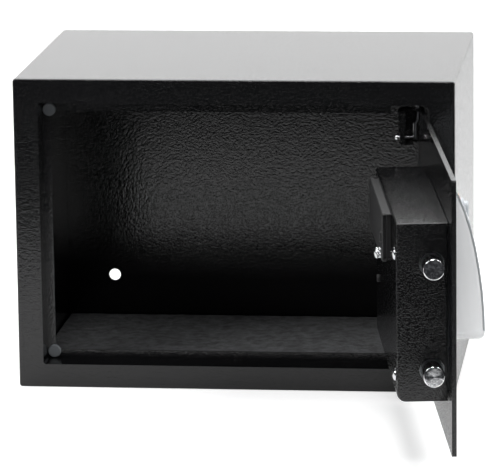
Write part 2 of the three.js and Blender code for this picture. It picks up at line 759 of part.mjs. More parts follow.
// A screw with a low dome for a head, which points into the cabinet
const domeHeightShares = [0.5, 0.8, 0.95];
function domeScrew([x, z]) {
  const head = coverScrewDiameter / 2;
  const base = lockBackY + seam;
  const dome = domeHeightShares.map((share) =>
    [head * Math.sqrt(1 - share * share), base + coverScrewHeight * share]);
  const profile = [[0, base - coverScrewLength], [coverScrewShank / 2, base - coverScrewLength],
    [coverScrewShank / 2, base], [head, base], ...dome, [0, base + coverScrewHeight]];
  return turned(profile, 'y', x, 0, z);
}

// The cover is a plate over a narrower skirt. Its free end is hollow, with one rib, and a grip
// stands on the plate there.
function batteryCover() {
  const base = lockBackY + seam;
  const top = base + batteryCoverThickness;
  const plateY = top - batteryCoverLip;
  const outline = (inset, radius) => roundedRect(batteryCoverLeft + inset,
    batteryCoverLow + inset, batteryCoverLength - 2 * inset, batteryCoverHeight - 2 * inset, radius);
  const plateWhole = slab(outline(0, batteryCoverRound), plateY - batteryCoverWall, top,
    batteryCoverWall / 2);
  const trim = block(batteryCoverLeft - overrun, batteryCoverLeft + batteryCoverLength + overrun,
    plateY - overrun, plateY, batteryCoverLow - overrun, batteryCoverHigh + overrun);
  const skirt = slab(outline(batteryCoverStep, batteryCoverRound - batteryCoverStep), base,
    top - batteryCoverWall);
  const wall = batteryCoverStep + skirtWall;
  const room = block(batteryCoverLeft + endPocket + skirtWall,
    batteryCoverLeft + batteryCoverLength - wall, base - overrun, top - batteryCoverWall,
    batteryCoverLow + wall, batteryCoverHigh - wall);
  const pocket = block(batteryCoverLeft - overrun, batteryCoverLeft + endPocket, base - overrun,
    top - batteryCoverWall, batteryCoverLow + wall, batteryCoverHigh - wall);
  const ribY = (base + top - batteryCoverWall) / 2;
  const rib = block(batteryCoverLeft + batteryCoverStep, batteryCoverLeft + endPocket + skirtWall / 2,
    ribY - pocketRib / 2, ribY + pocketRib / 2, batteryCoverLow + wall / 2,
    batteryCoverHigh - wall / 2);
  const middleZ = (batteryCoverLow + batteryCoverHigh) / 2;
  const grip = slab(roundedRect(batteryCoverLeft + batteryCoverWall, middleZ - gripHeight / 2,
    gripLength, gripHeight, batteryCoverWall), top - batteryCoverWall, top + gripProud, gripProud / 3);
  const pillar = rod(thumbScrewHead, 'y', base, top - batteryCoverWall / 2, thumbScrewX,
    thumbScrewZ);
  const bore = rod(thumbScrewShank + 2 * seam, 'y', base - overrun, top + overrun, thumbScrewX,
    thumbScrewZ);
  return cut(join(cut(join(cut(plateWhole, trim), skirt), room, pocket), rib, grip, pillar), bore);
}

function batteryScrew() {
  const faceY = lockBackY + seam + batteryCoverThickness;
  const headY = faceY + thumbScrewStandoff;
  const head = thumbScrewHead / 2;
  const crown = thumbScrewHeadThickness / 4;
  const tipY = lockBackY - 2 * lockSheet;
  const shank = thumbScrewShank / 2;
  const collar = thumbScrewCollar / 2;
  const profile = [[0, tipY], [shank, tipY], [shank, faceY + seam], [collar, faceY + seam],
    [collar, headY - thumbScrewNeck], [shank, headY - thumbScrewNeck], [shank, headY],
    [head, headY], [head, headY + thumbScrewHeadThickness - crown],
    [head - crown, headY + thumbScrewHeadThickness], [0, headY + thumbScrewHeadThickness]];
  return turned(profile, 'y', thumbScrewX, 0, thumbScrewZ);
}

function batteryTray() {
  const backY = lockBackY + trayRim;
  const box = block(trayLeft, trayLeft + trayLength, trayFrontY, backY, trayLow,
    trayLow + trayHeight);
  const room = block(trayLeft + trayWall, trayLeft + trayLength - trayWall,
    trayFrontY + trayWall, backY + overrun, trayLow + trayWall, trayLow + trayHeight - trayWall);
  return cut(box, room);
}

// Four cells: two rows, the second turned round
function cell(row, column) {
  const r = cellDiameter / 2;
  const profile = [[0, 0], [r, 0], [r, cellLength - cellCapHeight],
    [cellCap / 2, cellLength - cellCapHeight], [cellCap / 2, cellLength], [0, cellLength]];
  const z = trayMiddleZ + (row - 0.5) * (cellDiameter + cellGap);
  const startX = batteryMiddleX + (column - 1) * (cellLength + cellGap) + cellGap / 2;
  const along = profile.map(([radius, x]) => [radius, row === 0 ? x : cellLength - x]);
  return turned(row === 0 ? along : along.reverse(), 'x', startX, cellY, z);
}

place(doorGroup, 'lock_cover', lockCover(), blackCoat);
coverScrewPlaces.forEach((spot, i) =>
  place(doorGroup, `cover_screw_${i + 1}`, domeScrew(spot), brightSteel));
place(doorGroup, 'battery_cover', batteryCover(), blackPlastic);
place(doorGroup, 'battery_cover_screw', batteryScrew(), brightSteel);
place(doorGroup, 'battery_tray', batteryTray(), blackPlastic);
[0, 1].forEach((row) => [0, 1].forEach((column) =>
  place(doorGroup, `battery_${2 * row + column + 1}`, cell(row, column),
    cellSleeve)));

// Lock chassis: a channel bent from one sheet, with flanges for the cover's screws
function lockChassis() {
  const t = chassisSheet;
  const section = polygon([
    [chassisLeft, chassisBaseY], [chassisRight, chassisBaseY], [chassisRight, chassisTopY],
    [chassisRight - chassisFlange, chassisTopY], [chassisRight - chassisFlange, chassisTopY - t],
    [chassisRight - t, chassisTopY - t], [chassisRight - t, chassisFloorY],
    [chassisLeft + t, chassisFloorY], [chassisLeft + t, chassisTopY - t],
    [chassisLeft + chassisFlange, chassisTopY - t], [chassisLeft + chassisFlange, chassisTopY],
    [chassisLeft, chassisTopY]]);
  const drill = (diameter, y, x, z) => rod(diameter, 'y', y - overrun, y + overrun, x, z);
  const boltHoles = boltZ.map((z) =>
    rod(boltDiameter + 2 * runningGap, 'x', chassisLeft - overrun, chassisLeft + overrun, boltY, z));
  const screwHoles = coverScrewPlaces.map(([x, z]) =>
    drill(coverScrewShank + 2 * seam, chassisTopY, x, z));
  return cut(column(section, chassisBottom, chassisTop),
    drill(spindleDiameter + 2 * runningGap, chassisFloorY, knobX, knobZ),
    drill(keyLockDiameter + 2 * seam, chassisFloorY, keyLockX, keyLockZ),
    drill(keyHeight, chassisFloorY, keypadX, doorMiddleZ),
    ...boltHoles, ...screwHoles);
}

// Bolt: a round bar with a chamfered tip and a slot that takes the carriage
function bolt(z) {
  const r = boltDiameter / 2;
  const endX = boltTipX + boltLength;
  const profile = [[0, boltTipX], [r - boltChamfer, boltTipX], [r, boltTipX + boltChamfer],
    [r, endX], [0, endX]];
  const slot = block(endX - boltSlotDepth, endX + overrun, carriageFrontY - seam,
    carriageBackY + seam, z - boltDiameter, z + boltDiameter);
  return cut(turned(profile, 'x', 0, boltY, z), slot);
}

// Carriage: the upright between the bolts, and the arm that the crank pin drives
const armLow = knobZ - armBelowKnob;
const solenoidX = boltTipX + boltLength - carriageOverlap + carriagePost + solenoidFromPost;
function boltCarriage() {
  const left = boltTipX + boltLength - carriageOverlap;
  const right = knobX + armPastKnob;
  const low = boltZ[0] - carriagePastBolt;
  const high = boltZ[1] + carriagePastBolt;
  const ramp = plungerTravel / boltTravel;
  const rampEnd = solenoidX + boltTravel + plungerDiameter;
  const rampStart = solenoidX - plungerDiameter;
  const outline = polygon([
    [left, low], [left + carriagePost, low], [left + carriagePost, armLow],
    [rampStart, armLow], [rampEnd, armLow + ramp * (rampEnd - rampStart)],
    [rampEnd, armLow], [right, armLow], [right, armLow + armHeight],
    [left + carriagePost, armLow + armHeight], [left + carriagePost, high], [left, high]]);
  const pinX = knobX + boltTravel / 2;
  const slotWidth = crankPin + 2 * crankPinGap;
  const slotLow = knobZ - crankArm - slotWidth / 2;
  const slotHigh = knobZ - crankArm * Math.cos(THREE.MathUtils.degToRad(knobTurn / 2))
    + slotWidth / 2;
  const slot = roundedRect(pinX - slotWidth / 2, slotLow, slotWidth, slotHigh - slotLow,
    slotWidth / 2);
  return cut(slab(outline, carriageFrontY, carriageBackY),
    slab(slot, carriageFrontY - overrun, carriageBackY + overrun));
}

place(doorGroup, 'lock_chassis', lockChassis(), zincSteel);
place(doorGroup, 'bolt_carriage', boltCarriage(), zincSteel);
place(doorGroup, 'bolt_lower', bolt(boltZ[0]), brightSteel);
place(doorGroup, 'bolt_upper', bolt(boltZ[1]), brightSteel);

// Solenoid: its frame stands on the chassis, and the plunger follows the carriage's ramp
const solenoidHigh = armLow - runningGap - plungerShow;
const solenoidLow = solenoidHigh - coilHeight - 2 * coilFrame - 2 * seam;
function solenoidFrame() {
  const baseY = chassisFloorY + seam;
  const reachY = boltY + coilWidth / 2;
  const section = polygon([
    [baseY, solenoidLow], [reachY, solenoidLow], [reachY, solenoidLow + coilFrame],
    [baseY + coilFrame, solenoidLow + coilFrame], [baseY + coilFrame, solenoidHigh - coilFrame],
    [reachY, solenoidHigh - coilFrame], [reachY, solenoidHigh], [baseY, solenoidHigh]]);
  const bore = rod(plungerDiameter + 2 * runningGap, 'z', solenoidHigh - overrun,
    solenoidHigh + overrun, solenoidX, boltY);
  return cut(beam(section, solenoidX - coilWidth / 2, solenoidX + coilWidth / 2), bore);
}

function solenoidCoil() {
  const low = solenoidLow + coilFrame + seam;
  const r = coilWidth / 2 - runningGap;
  const bore = plungerDiameter / 2 + runningGap;
  const profile = [[bore, low], [r, low], [r, low + coilHeight], [bore, low + coilHeight],
    [bore, low]];
  return turned(profile, 'z', solenoidX, boltY, 0);
}

function solenoidPlunger() {
  const tip = armLow - runningGap;
  const r = plungerDiameter / 2;
  const collar = tip - plungerHeadHeight - r;
  const low = solenoidHigh - coilHeight / 2;
  const profile = [[0, low], [r, low], [r, collar], [plungerHead / 2, collar],
    [plungerHead / 2, collar + plungerHeadHeight], [r, collar + plungerHeadHeight],
    [r, tip - r / 2], [r / 2, tip], [0, tip]];
  return turned(profile, 'z', solenoidX, boltY, 0);
}

// The plunger's spring: a wire wound round it between the frame and the collar
function plungerSpring() {
  const low = solenoidHigh + seam + springWire / 2;
  const high = armLow - runningGap - plungerHeadHeight - plungerDiameter / 2 - seam
    - springWire / 2;
  const r = (plungerDiameter + springWire) / 2 + runningGap;
  const stepsPerTurn = 8;
  const wireSides = 5;
  const steps = springTurns * stepsPerTurn;
  const centres = [];
  const positions = [];
  const index = [];
  for (let step = 0; step <= steps; step += 1) {
    const angle = 2 * Math.PI * step / stepsPerTurn;
    const z = low + (high - low) * step / steps;
    centres.push(new THREE.Vector3(r * Math.cos(angle), r * Math.sin(angle), z));
    for (let side = 0; side < wireSides; side += 1) {
      const turn = 2 * Math.PI * side / wireSides;
      const out = r + springWire / 2 * Math.cos(turn);
      positions.push(solenoidX + out * Math.cos(angle), boltY + out * Math.sin(angle),
        z + springWire / 2 * Math.sin(turn));
    }
  }
  const gaps = centres.flatMap((centre, i) => centres.slice(i + stepsPerTurn / 2)
    .map((other) => centre.distanceTo(other) - springWire));
  console.log(`plunger_spring: least gap to itself ${Math.min(...gaps).toFixed(2)} mm`);
  const ring = (step, side) => step * wireSides + side % wireSides;
  for (let step = 0; step < steps; step += 1) {
    for (let side = 0; side < wireSides; side += 1) {
      index.push(ring(step, side), ring(step + 1, side), ring(step, side + 1));
      index.push(ring(step, side + 1), ring(step + 1, side), ring(step + 1, side + 1));
    }
  }
  for (let side = 1; side < wireSides - 1; side += 1) {
    index.push(ring(0, 0), ring(0, side), ring(0, side + 1));
    index.push(ring(steps, 0), ring(steps, side + 1), ring(steps, side));
  }
  const geometry = new THREE.BufferGeometry();
  geometry.setAttribute('position', new THREE.Float32BufferAttribute(positions, 3));
  geometry.setIndex(index);
  return solid(geometry);
}

place(doorGroup, 'solenoid_frame', solenoidFrame(), zincSteel);
place(doorGroup, 'solenoid_coil', solenoidCoil(), copper);
place(doorGroup, 'solenoid_plunger', solenoidPlunger(), brightSteel);
place(doorGroup, 'plunger_spring', plungerSpring(), brightSteel);

// Circuit board on four feet, with a chip, a buzzer and the reset switch
function circuitBoard() {
  const backY = chassisFloorY + seam + boardStandoff;
  const topY = backY + boardThickness;
  const board = block(boardLeft, boardRight, backY, topY, boardLow, boardHigh);
  const inset = boardMargin / 2;
  const feet = [boardLeft + inset, boardRight - inset].flatMap((x) =>
    [boardLow + inset, boardHigh - inset].map((z) =>
      rod(inset, 'y', chassisFloorY + seam, topY, x, z)));
  const chip = block(boardLeft + boardMargin, boardLeft + boardMargin + chipSize, topY - seam,
    topY + chipHeight, boardLow + boardMargin, boardLow + boardMargin + chipSize);
  const buzzer = rod(buzzerDiameter, 'y', topY - seam, topY + buzzerHeight,
    (boardLeft + boardRight) / 2, boardHigh - boardMargin - buzzerDiameter / 2);
  const half = resetDiameter / 2;
  const resetBase = block(resetX - half, resetX + half, topY - seam, topY + resetSwitch,
    resetZ - half, resetZ + half);
  return join(board, ...feet, chip, buzzer, resetBase);
}

function resetButton() {
  const stem = resetStem / 2;
  const cap = resetDiameter / 2;
  const switchY = chassisFloorY + seam + boardStandoff + boardThickness + resetSwitch;
  const skirtY = lockBackY - lockSheet - seam - resetSkirtThickness;
  const profile = [[0, switchY + resetTravel + seam], [stem, switchY + resetTravel + seam],
    [stem, skirtY], [resetSkirt / 2, skirtY], [resetSkirt / 2, skirtY + resetSkirtThickness],
    [cap, skirtY + resetSkirtThickness], [cap, lockBackY + resetProud], [0, lockBackY + resetProud]];
  return turned(profile, 'y', resetX, 0, resetZ);
}

place(doorGroup, 'circuit_board', circuitBoard(), boardGreen);
place(doorGroup, 'reset_button', resetButton(), blackPlastic);

// Fascia: one curve is the arch of its face, and every layer and every key follows it
const yz = (proudOut, z) => new THREE.Vector2(fasciaBackY - proudOut, z);
const faceEndZ = fasciaBottom + fasciaLowRound;
const faceCurve = new THREE.CubicBezierCurve(
  yz(fasciaTopProud, fasciaTop),
  yz(fasciaProud * faceUpperProudShare, fasciaBottom + fasciaHeight * faceUpperHeightShare),
  yz(fasciaProud * faceLowerProudShare, fasciaBottom + fasciaHeight * faceLowerHeightShare),
  yz(fasciaProud, faceEndZ));
const lowCurve = new THREE.QuadraticBezierCurve(yz(fasciaProud, faceEndZ),
  yz(fasciaProud, fasciaBottom), yz(fasciaProud - fasciaLowRound, fasciaBottom));
const faceSteps = 8;
const lowSteps = 3;

// Points along a curve, each moved inward by a depth
function offsetPoints(curve, steps, depth) {
  return Array.from({ length: steps + 1 }, (_, i) => {
    const point = curve.getPoint(i / steps);
    const tangent = curve.getTangent(i / steps);
    return [point.x - tangent.y * depth, point.y + tangent.x * depth];
  });
}

function fasciaSection(depth) {
  const pointsBelow = offsetPoints(lowCurve, lowSteps, depth).slice(1);
  const bottom = fasciaBottom + depth;
  const openY = fasciaBackY + (depth > 0 ? overrun : 0);
  const arch = offsetPoints(faceCurve, faceSteps, depth);
  return polygon([[openY, arch[0][1]], ...arch, ...pointsBelow, [openY, bottom]].reverse());
}

// The layer of the face between two depths, down to where the arch ends
function faceLayer(outer, inner) {
  return polygon([...offsetPoints(faceCurve, faceSteps, outer),
    ...offsetPoints(faceCurve, faceSteps, inner).reverse()].reverse());
}

const behindFace = facePanel + seam + fasciaWall;
const faceLength = faceCurve.getLength();

// A frame on the face: x across, y up along the face, z out of it
function onFace(x, distanceFromTop) {
  const share = distanceFromTop / faceLength;
  const point = faceCurve.getPointAt(share);
  const tangent = faceCurve.getTangentAt(share);
  const across = new THREE.Vector3(1, 0, 0);
  const up = new THREE.Vector3(0, -tangent.x, -tangent.y);
  const out = new THREE.Vector3(0, tangent.y, -tangent.x);
  return new THREE.Matrix4().makeBasis(across, up, out).setPosition(x, point.x, point.y);
}

const centredRect = (width, height, radius) =>
  roundedRect(-width / 2, -height / 2, width, height, radius);

function stand(shape, from, to, frame, edge = 0, segments = 1) {
  return solid(extrude(shape, to - from, edge, segments).translate(0, 0, from).applyMatrix4(frame));
}

const firstRowDrop = fasciaHeight * keypadDropShare;
const keySpots = [];
for (let row = 0; row < keyRows; row += 1) {
  for (let column = 0; column < keyColumns; column += 1) {
    const x = keypadX + (column - (keyColumns - 1) / 2) * keyPitchAcross;
    keySpots.push(onFace(x, firstRowDrop + row * keyPitchDown));
  }
}
const lampDrop = fasciaHeight * lampDropShare;
const lampSpots = [-1, 0, 1].map((step) => onFace(keypadX + step * lampPitch, lampDrop));
const lampFrame = onFace(keypadX, lampDrop);
const keyBoardFrame = onFace(keypadX, firstRowDrop + (keyRows - 1) * keyPitchDown / 2);
const keyBoardWidth = keyColumns * keyPitchAcross + 2 * keyBoardMargin;
const keyBoardHeight = keyRows * keyPitchDown + keyBoardMargin;
const keyBoardTop = -behindFace - 2 * seam - keySkirtThickness - boardBehindKeys;

// The places along the face that stand level with the key lock, found by halving
function distanceAtZ(z) {
  let near = 0;
  let far = 1;
  for (let i = 0; i < 40; i += 1) {
    const middle = (near + far) / 2;
    if (faceCurve.getPointAt(middle).y > z) near = middle;
    else far = middle;
  }
  return faceLength * near;
}
const keyLockDistance = distanceAtZ(keyLockZ);
const keyLockFrontY = faceCurve.getPointAt(keyLockDistance / faceLength).x + keyLockRecess;
const keyCoverFrame = onFace(keyLockX, keyLockDistance - keyCoverPivotRise / 2);

// Everything that opens through both the housing and the face panel
function faceOpenings() {
  const through = (shape, frame, segments) =>
    stand(shape, -behindFace - overrun, overrun, frame, 0, segments);
  const keyHole = centredRect(keyWidth + 2 * runningGap, keyHeight + 2 * runningGap,
    keyRound + runningGap);
  const lampRound = centredRect(lampDiameter + 2 * seam, lampDiameter + 2 * seam,
    lampDiameter / 2 + seam);
  const pinRound = centredRect(keyCoverPin + 2 * seam, keyCoverPin + 2 * seam,
    keyCoverPin / 2 + seam);
  const pinFrame = keyCoverFrame.clone().multiply(
    new THREE.Matrix4().makeTranslation(0, keyCoverPivotRise / 2, 0));
  const farY = fasciaBackY - 2 * fasciaProud;
  return [
    ...keySpots.map((spot) => through(keyHole, spot)),
    ...lampSpots.map((spot) => through(lampRound, spot, 2)),
    through(pinRound, pinFrame, 2),
    rod(keyLockDiameter + 2 * seam, 'y', farY, fasciaBackY + overrun, keyLockX, keyLockZ),
    rod(knobDiameter + 2 * knobWellGap, 'y', farY, fasciaBackY - knobWellFloor, knobX, knobZ),
  ];
}

function fasciaFrontOutline(margin) {
  return slab(roundedRect(fasciaLeft - margin, fasciaBottom - margin, fasciaWidth + 2 * margin,
    fasciaHeight + 2 * margin, fasciaCorner), fasciaBackY - 2 * fasciaProud,
    fasciaBackY + overrun);
}

function fasciaHousing() {
  const full = beam(fasciaSection(0), fasciaLeft, fasciaRight).intersect(fasciaFrontOutline(0));
  const hollow = beam(fasciaSection(behindFace), fasciaLeft + fasciaWall,
    fasciaRight - fasciaWall);
  const wellWidth = knobDiameter + 2 * knobWellGap + 2 * fasciaWall;
  const farY = fasciaBackY - fasciaProud;
  const cup = rod(wellWidth, 'y', farY, fasciaBackY, knobX, knobZ);
  const cupRoom = cut(rod(wellWidth - 2 * fasciaWall, 'y', fasciaBackY - knobWellFloor + fasciaWall,
    fasciaBackY + overrun, knobX, knobZ), rod(knobHub, 'y', farY, fasciaBackY + 2 * overrun, knobX,
    knobZ));
  const bosses = fasciaScrewPlaces().map(([x, z]) => rod(fasciaBoss, 'y', farY, fasciaBackY, x, z));
  const bores = fasciaScrewPlaces().map(([x, z]) =>
    rod(fasciaBore, 'y', fasciaBackY - fasciaBoreDepth, fasciaBackY + overrun, x, z));
  const post = centredRect(keyPost, keyPost, keyPost / 2);
  const posts = [-1, 1].flatMap((side) => [-1, 1].map((end) => stand(post,
    keyBoardTop + seam, 0, keyBoardFrame.clone().multiply(new THREE.Matrix4().makeTranslation(
      side * (keyBoardWidth - keyPost) / 2, end * (keyBoardHeight - keyPost) / 2, 0)))));
  const filled = join(cut(full, hollow), ...[cup, ...bosses, ...posts].map((piece) =>
    piece.intersect(full)));
  const layer = beam(faceLayer(-overrun, facePanel + seam), fasciaLeft - overrun,
    fasciaRight + overrun);
  const spindleHole = rod(spindleDiameter + 2 * runningGap, 'y', farY, fasciaBackY + overrun,
    knobX, knobZ);
  return cut(filled, layer, cupRoom, spindleHole, ...bores, ...faceOpenings());
}

function facePlate() {
  const layer = beam(faceLayer(0, facePanel), fasciaLeft, fasciaRight);
  return cut(layer.intersect(fasciaFrontOutline(0)), ...faceOpenings());
}

function key(spot) {
  const skirtTop = -behindFace - seam;
  const skirt = centredRect(keyWidth + 2 * keySkirt, keyHeight + 2 * keySkirt, keyRound);
  const cap = centredRect(keyWidth, keyHeight, keyRound);
  return join(stand(cap, skirtTop - keySkirtThickness / 2, keyProud, spot, keyEdge),
    stand(skirt, skirtTop - keySkirtThickness, skirtTop, spot));
}

function keyBoard() {
  return stand(centredRect(keyBoardWidth, keyBoardHeight, keyRound),
    keyBoardTop - keyBoardThickness, keyBoardTop, keyBoardFrame);
}

// The three lamps are moulded on one clear bar behind the face
function lampLens() {
  const barTop = -behindFace - seam;
  const bar = stand(centredRect(2 * lampPitch + 2 * lampDiameter, 2 * lampDiameter, keyRound),
    barTop - lampBar, barTop, lampFrame);
  const lamp = centredRect(lampDiameter, lampDiameter, lampDiameter / 2);
  return join(bar, ...lampSpots.map((spot) =>
    stand(lamp, barTop - lampBar / 2, lampProud, spot, lampDiameter / 8, 2)));
}

place(doorGroup, 'fascia_housing', fasciaHousing(), silverPlastic);
place(doorGroup, 'face_panel', facePlate(), facePlastic);
place(doorGroup, 'lamp_lens', lampLens(), lampRed);
place(doorGroup, 'keypad_board', keyBoard(), boardGreen);
const keyNames = ['1', '2', '3', '4', '5', '6', '7', '8', '9', 'clear', '0', 'enter'];
keySpots.forEach((spot, i) =>
  place(doorGroup, `key_${keyNames[i] ?? i + 1}`, key(spot), keyPlastic));

// Knob: a fluted body with a raised bar, on a spindle that ends in a crank
const knobBackY = fasciaBackY - knobWellFloor - runningGap;
const crankBackY = carriageFrontY - runningGap;
function knob() {
  const steps = knobLobes * 4;
  const outline = new THREE.Shape(Array.from({ length: steps }, (_, i) => {
    const angle = 2 * Math.PI * i / steps;
    const r = knobDiameter / 2 - knobLobeDepth * (0.5 - 0.5 * Math.cos(knobLobes * angle));
    return new THREE.Vector2(knobX + r * Math.cos(angle), knobZ + r * Math.sin(angle));
  }));
  const frontY = knobBackY - knobThickness + knobBarHeight;
  const barLength = knobDiameter - 4 * knobEdge;
  const bar = slab(roundedRect(knobX - knobBarWidth / 2, knobZ - barLength / 2, knobBarWidth,
    barLength, knobBarWidth / 2), knobBackY - knobThickness, frontY + knobBarHeight, knobEdge / 2);
  const bore = rod(spindleDiameter + 2 * seam, 'y', knobBackY - knobBore, knobBackY + overrun,
    knobX, knobZ);
  return cut(join(slab(outline, frontY, knobBackY, knobEdge), bar), bore);
}

function knobSpindle() {
  const r = spindleDiameter / 2;
  const startY = knobBackY - knobBore + seam;
  const discY = crankBackY - crankDiscThickness;
  const profile = [[0, startY], [r, startY], [r, discY], [crankDisc / 2, discY],
    [crankDisc / 2, crankBackY], [0, crankBackY]];
  const half = THREE.MathUtils.degToRad(knobTurn / 2);
  const pin = rod(crankPin, 'y', discY, carriageBackY + seam, knobX + crankArm * Math.sin(half),
    knobZ - crankArm * Math.cos(half));
  return join(turned(profile, 'y', knobX, 0, knobZ), pin);
}

place(doorGroup, 'knob', knob(), silverPlastic);
place(doorGroup, 'knob_spindle', knobSpindle(), zincSteel);

// Emergency key lock: body, nut, turning plug, and the cam on the plug's tail
const keyLockEndY = keyLockFrontY + keyLockLength;
function keyLockBody() {
  const r = keyLockDiameter / 2;
  const plug = keyPlugDiameter / 2 + seam;
  const tail = keyTailDiameter / 2 + seam;
  const stepY = keyLockEndY - keyNutThickness;
  const profile = [[plug, keyLockFrontY], [plug, stepY], [tail, stepY], [tail, keyLockEndY],
    [r, keyLockEndY], [r, keyLockFrontY], [plug, keyLockFrontY]];
  return turned(profile.reverse(), 'y', keyLockX, 0, keyLockZ);
}

function keyLockNut() {
  const start = chassisFloorY + seam;
  const bore = keyLockDiameter / 2 + seam;
  const hexagon = new THREE.Shape(Array.from({ length: 6 }, (_, i) => {
    const angle = Math.PI * i / 3;
    return new THREE.Vector2(keyLockX + keyNutDiameter / 2 * Math.cos(angle),
      keyLockZ + keyNutDiameter / 2 * Math.sin(angle));
  }));
  return cut(slab(hexagon, start, start + keyNutThickness, keyNutThickness / 6),
    rod(2 * bore, 'y', start - overrun, start + overrun, keyLockX, keyLockZ));
}

function keyPlug() {
  const r = keyPlugDiameter / 2;
  const stepY = keyLockEndY - keyNutThickness - seam;
  const endY = keyLockEndY + keyCamThickness + 2 * seam;
  const tail = keyTailDiameter / 2;
  const profile = [[0, keyLockFrontY + seam], [r, keyLockFrontY + seam], [r, stepY],
    [tail, stepY], [tail, endY], [0, endY]];
  const slot = block(keyLockX - keySlotWidth / 2, keyLockX + keySlotWidth / 2,
    keyLockFrontY - overrun, keyLockFrontY + seam + keySlotDepth,
    keyLockZ - keySlotHeight / 2, keyLockZ + keySlotHeight / 2);
  return cut(turned(profile, 'y', keyLockX, 0, keyLockZ), slot);
}

function keyCam() {
  const startY = keyLockEndY + seam;
  const half = keyCamWidth / 2;
  const arm = roundedRect(keyLockX - keyCamLength, keyLockZ - half, keyCamLength + half,
    keyCamWidth, half);
  return cut(slab(arm, startY, startY + keyCamThickness), rod(keyTailDiameter + 2 * seam, 'y',
    startY - overrun, startY + overrun, keyLockX, keyLockZ));
}

// The cover hangs on a pin above the lock and swings aside in its own plane
function keyCover() {
  const half = keyCoverWidth / 2;
  const plate = stand(centredRect(keyCoverWidth, keyCoverPivotRise + keyCoverWidth, half), seam,
    seam + keyCoverThickness, keyCoverFrame, keyCoverEdge, 4);
  const pin = stand(centredRect(keyCoverPin, keyCoverPin, keyCoverPin / 2),
    -keyCoverPinLength, seam + keyCoverThickness / 2,
    keyCoverFrame.clone().multiply(new THREE.Matrix4().makeTranslation(0, keyCoverPivotRise / 2, 0)),
    0, 2);
  return join(plate, pin);
}

place(doorGroup, 'key_lock_body', keyLockBody(), brass);
place(doorGroup, 'key_lock_nut', keyLockNut(), zincSteel);
place(doorGroup, 'key_lock_plug', keyPlug(), brightSteel);
place(doorGroup, 'key_lock_cam', keyCam(), zincSteel);
place(doorGroup, 'key_cover', keyCover(), silverPlastic);

export default safe;
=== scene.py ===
# %% [markdown]
# # A small digital safe, standing open
#
# The safe is a black powder-coated steel cabinet with a door that swings on two pins. The CAD
# model already holds every piece that moves or carries load, so this scene starts by loading it as
# a fixed frame. What is left for Blender is the looks: the finishes, the soft edges, the felt's
# uneven surface, and small things such as the screws' recesses and the figures on the keys.

import json
import math

import bmesh
import bpy
from mathutils import Matrix, Vector, noise


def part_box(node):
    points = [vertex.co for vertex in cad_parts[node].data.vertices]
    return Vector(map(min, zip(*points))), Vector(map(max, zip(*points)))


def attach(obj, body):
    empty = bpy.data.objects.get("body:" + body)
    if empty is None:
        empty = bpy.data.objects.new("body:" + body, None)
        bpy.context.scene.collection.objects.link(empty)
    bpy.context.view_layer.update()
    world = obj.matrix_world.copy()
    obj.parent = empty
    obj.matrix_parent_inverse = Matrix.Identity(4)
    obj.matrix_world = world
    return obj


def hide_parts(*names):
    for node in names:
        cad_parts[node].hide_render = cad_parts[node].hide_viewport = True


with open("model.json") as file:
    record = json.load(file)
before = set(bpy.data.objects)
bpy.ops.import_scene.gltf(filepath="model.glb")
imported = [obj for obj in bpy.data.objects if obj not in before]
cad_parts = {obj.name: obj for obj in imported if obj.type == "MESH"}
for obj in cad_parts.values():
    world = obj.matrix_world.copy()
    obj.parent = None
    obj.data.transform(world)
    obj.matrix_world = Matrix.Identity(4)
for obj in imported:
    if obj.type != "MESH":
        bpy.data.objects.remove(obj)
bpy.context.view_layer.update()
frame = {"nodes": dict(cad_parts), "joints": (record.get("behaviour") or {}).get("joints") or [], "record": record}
nodes = frame["nodes"]

# %% [markdown]
# ## Units and small helpers
#
# Blender works in metres, and a maker thinks in millimetres, so `MM` turns one into the other.
# A colour is easiest to pick as a hex value from a screen, which is sRGB, but shaders want linear
# light, so one function converts it. One more function adds a shader node: settings go in by name,
# and an input takes either a plain value or another node's output.

# %% Units, colours and shader nodes
MM = 0.001


def linear(hex_colour):
    channels = [int(hex_colour[i:i + 2], 16) / 255 for i in (1, 3, 5)]
    return [c / 12.92 if c <= 0.04045 else ((c + 0.055) / 1.055) ** 2.4 for c in channels] + [1]


def node(material, kind, inputs=None, **settings):
    made = material.node_tree.nodes.new(kind)
    for name, value in settings.items():
        setattr(made, name, value)
    for name, value in (inputs or {}).items():
        if isinstance(value, bpy.types.NodeSocket):
            material.node_tree.links.new(value, made.inputs[name])
        else:
            made.inputs[name].default_value = value
    return made


def finish(name, colour, **settings):
    """A new material, its shader, and the place on the object that drives its patterns."""
    material = bpy.data.materials.new(name)
    material.use_nodes = True
    shader = material.node_tree.nodes["Principled BSDF"]
    shader.inputs["Base Color"].default_value = linear(colour)
    for key, value in settings.items():
        shader.inputs[key.replace("_", " ").title()].default_value = value
    material.diffuse_color = linear(colour)
    place = node(material, "ShaderNodeTexCoord").outputs["Object"]
    return material, shader, place


def link(material, output, socket):
    material.node_tree.links.new(output, socket)


print(f"#808080 on a screen is {linear('#808080')[0]:.3f} in linear light")

# %% [markdown]
# ## The camera
#
# The photograph was taken from in front of the safe with a long lens. A camera could be moved by
# eye until the edges fit. Working back from the cabinet's corners is more exact: it gives the
# camera's place, its three turning angles and its focal length, so the render can be laid over the
# photograph.

# %% Camera
camera_place = Vector((0.3677, -3.1744, 0.7702))
focal_pixels, frame_pixels = 3970.2, 500
yaw, pitch, roll = (math.radians(a) for a in (6.641, -11.83, 0.739))

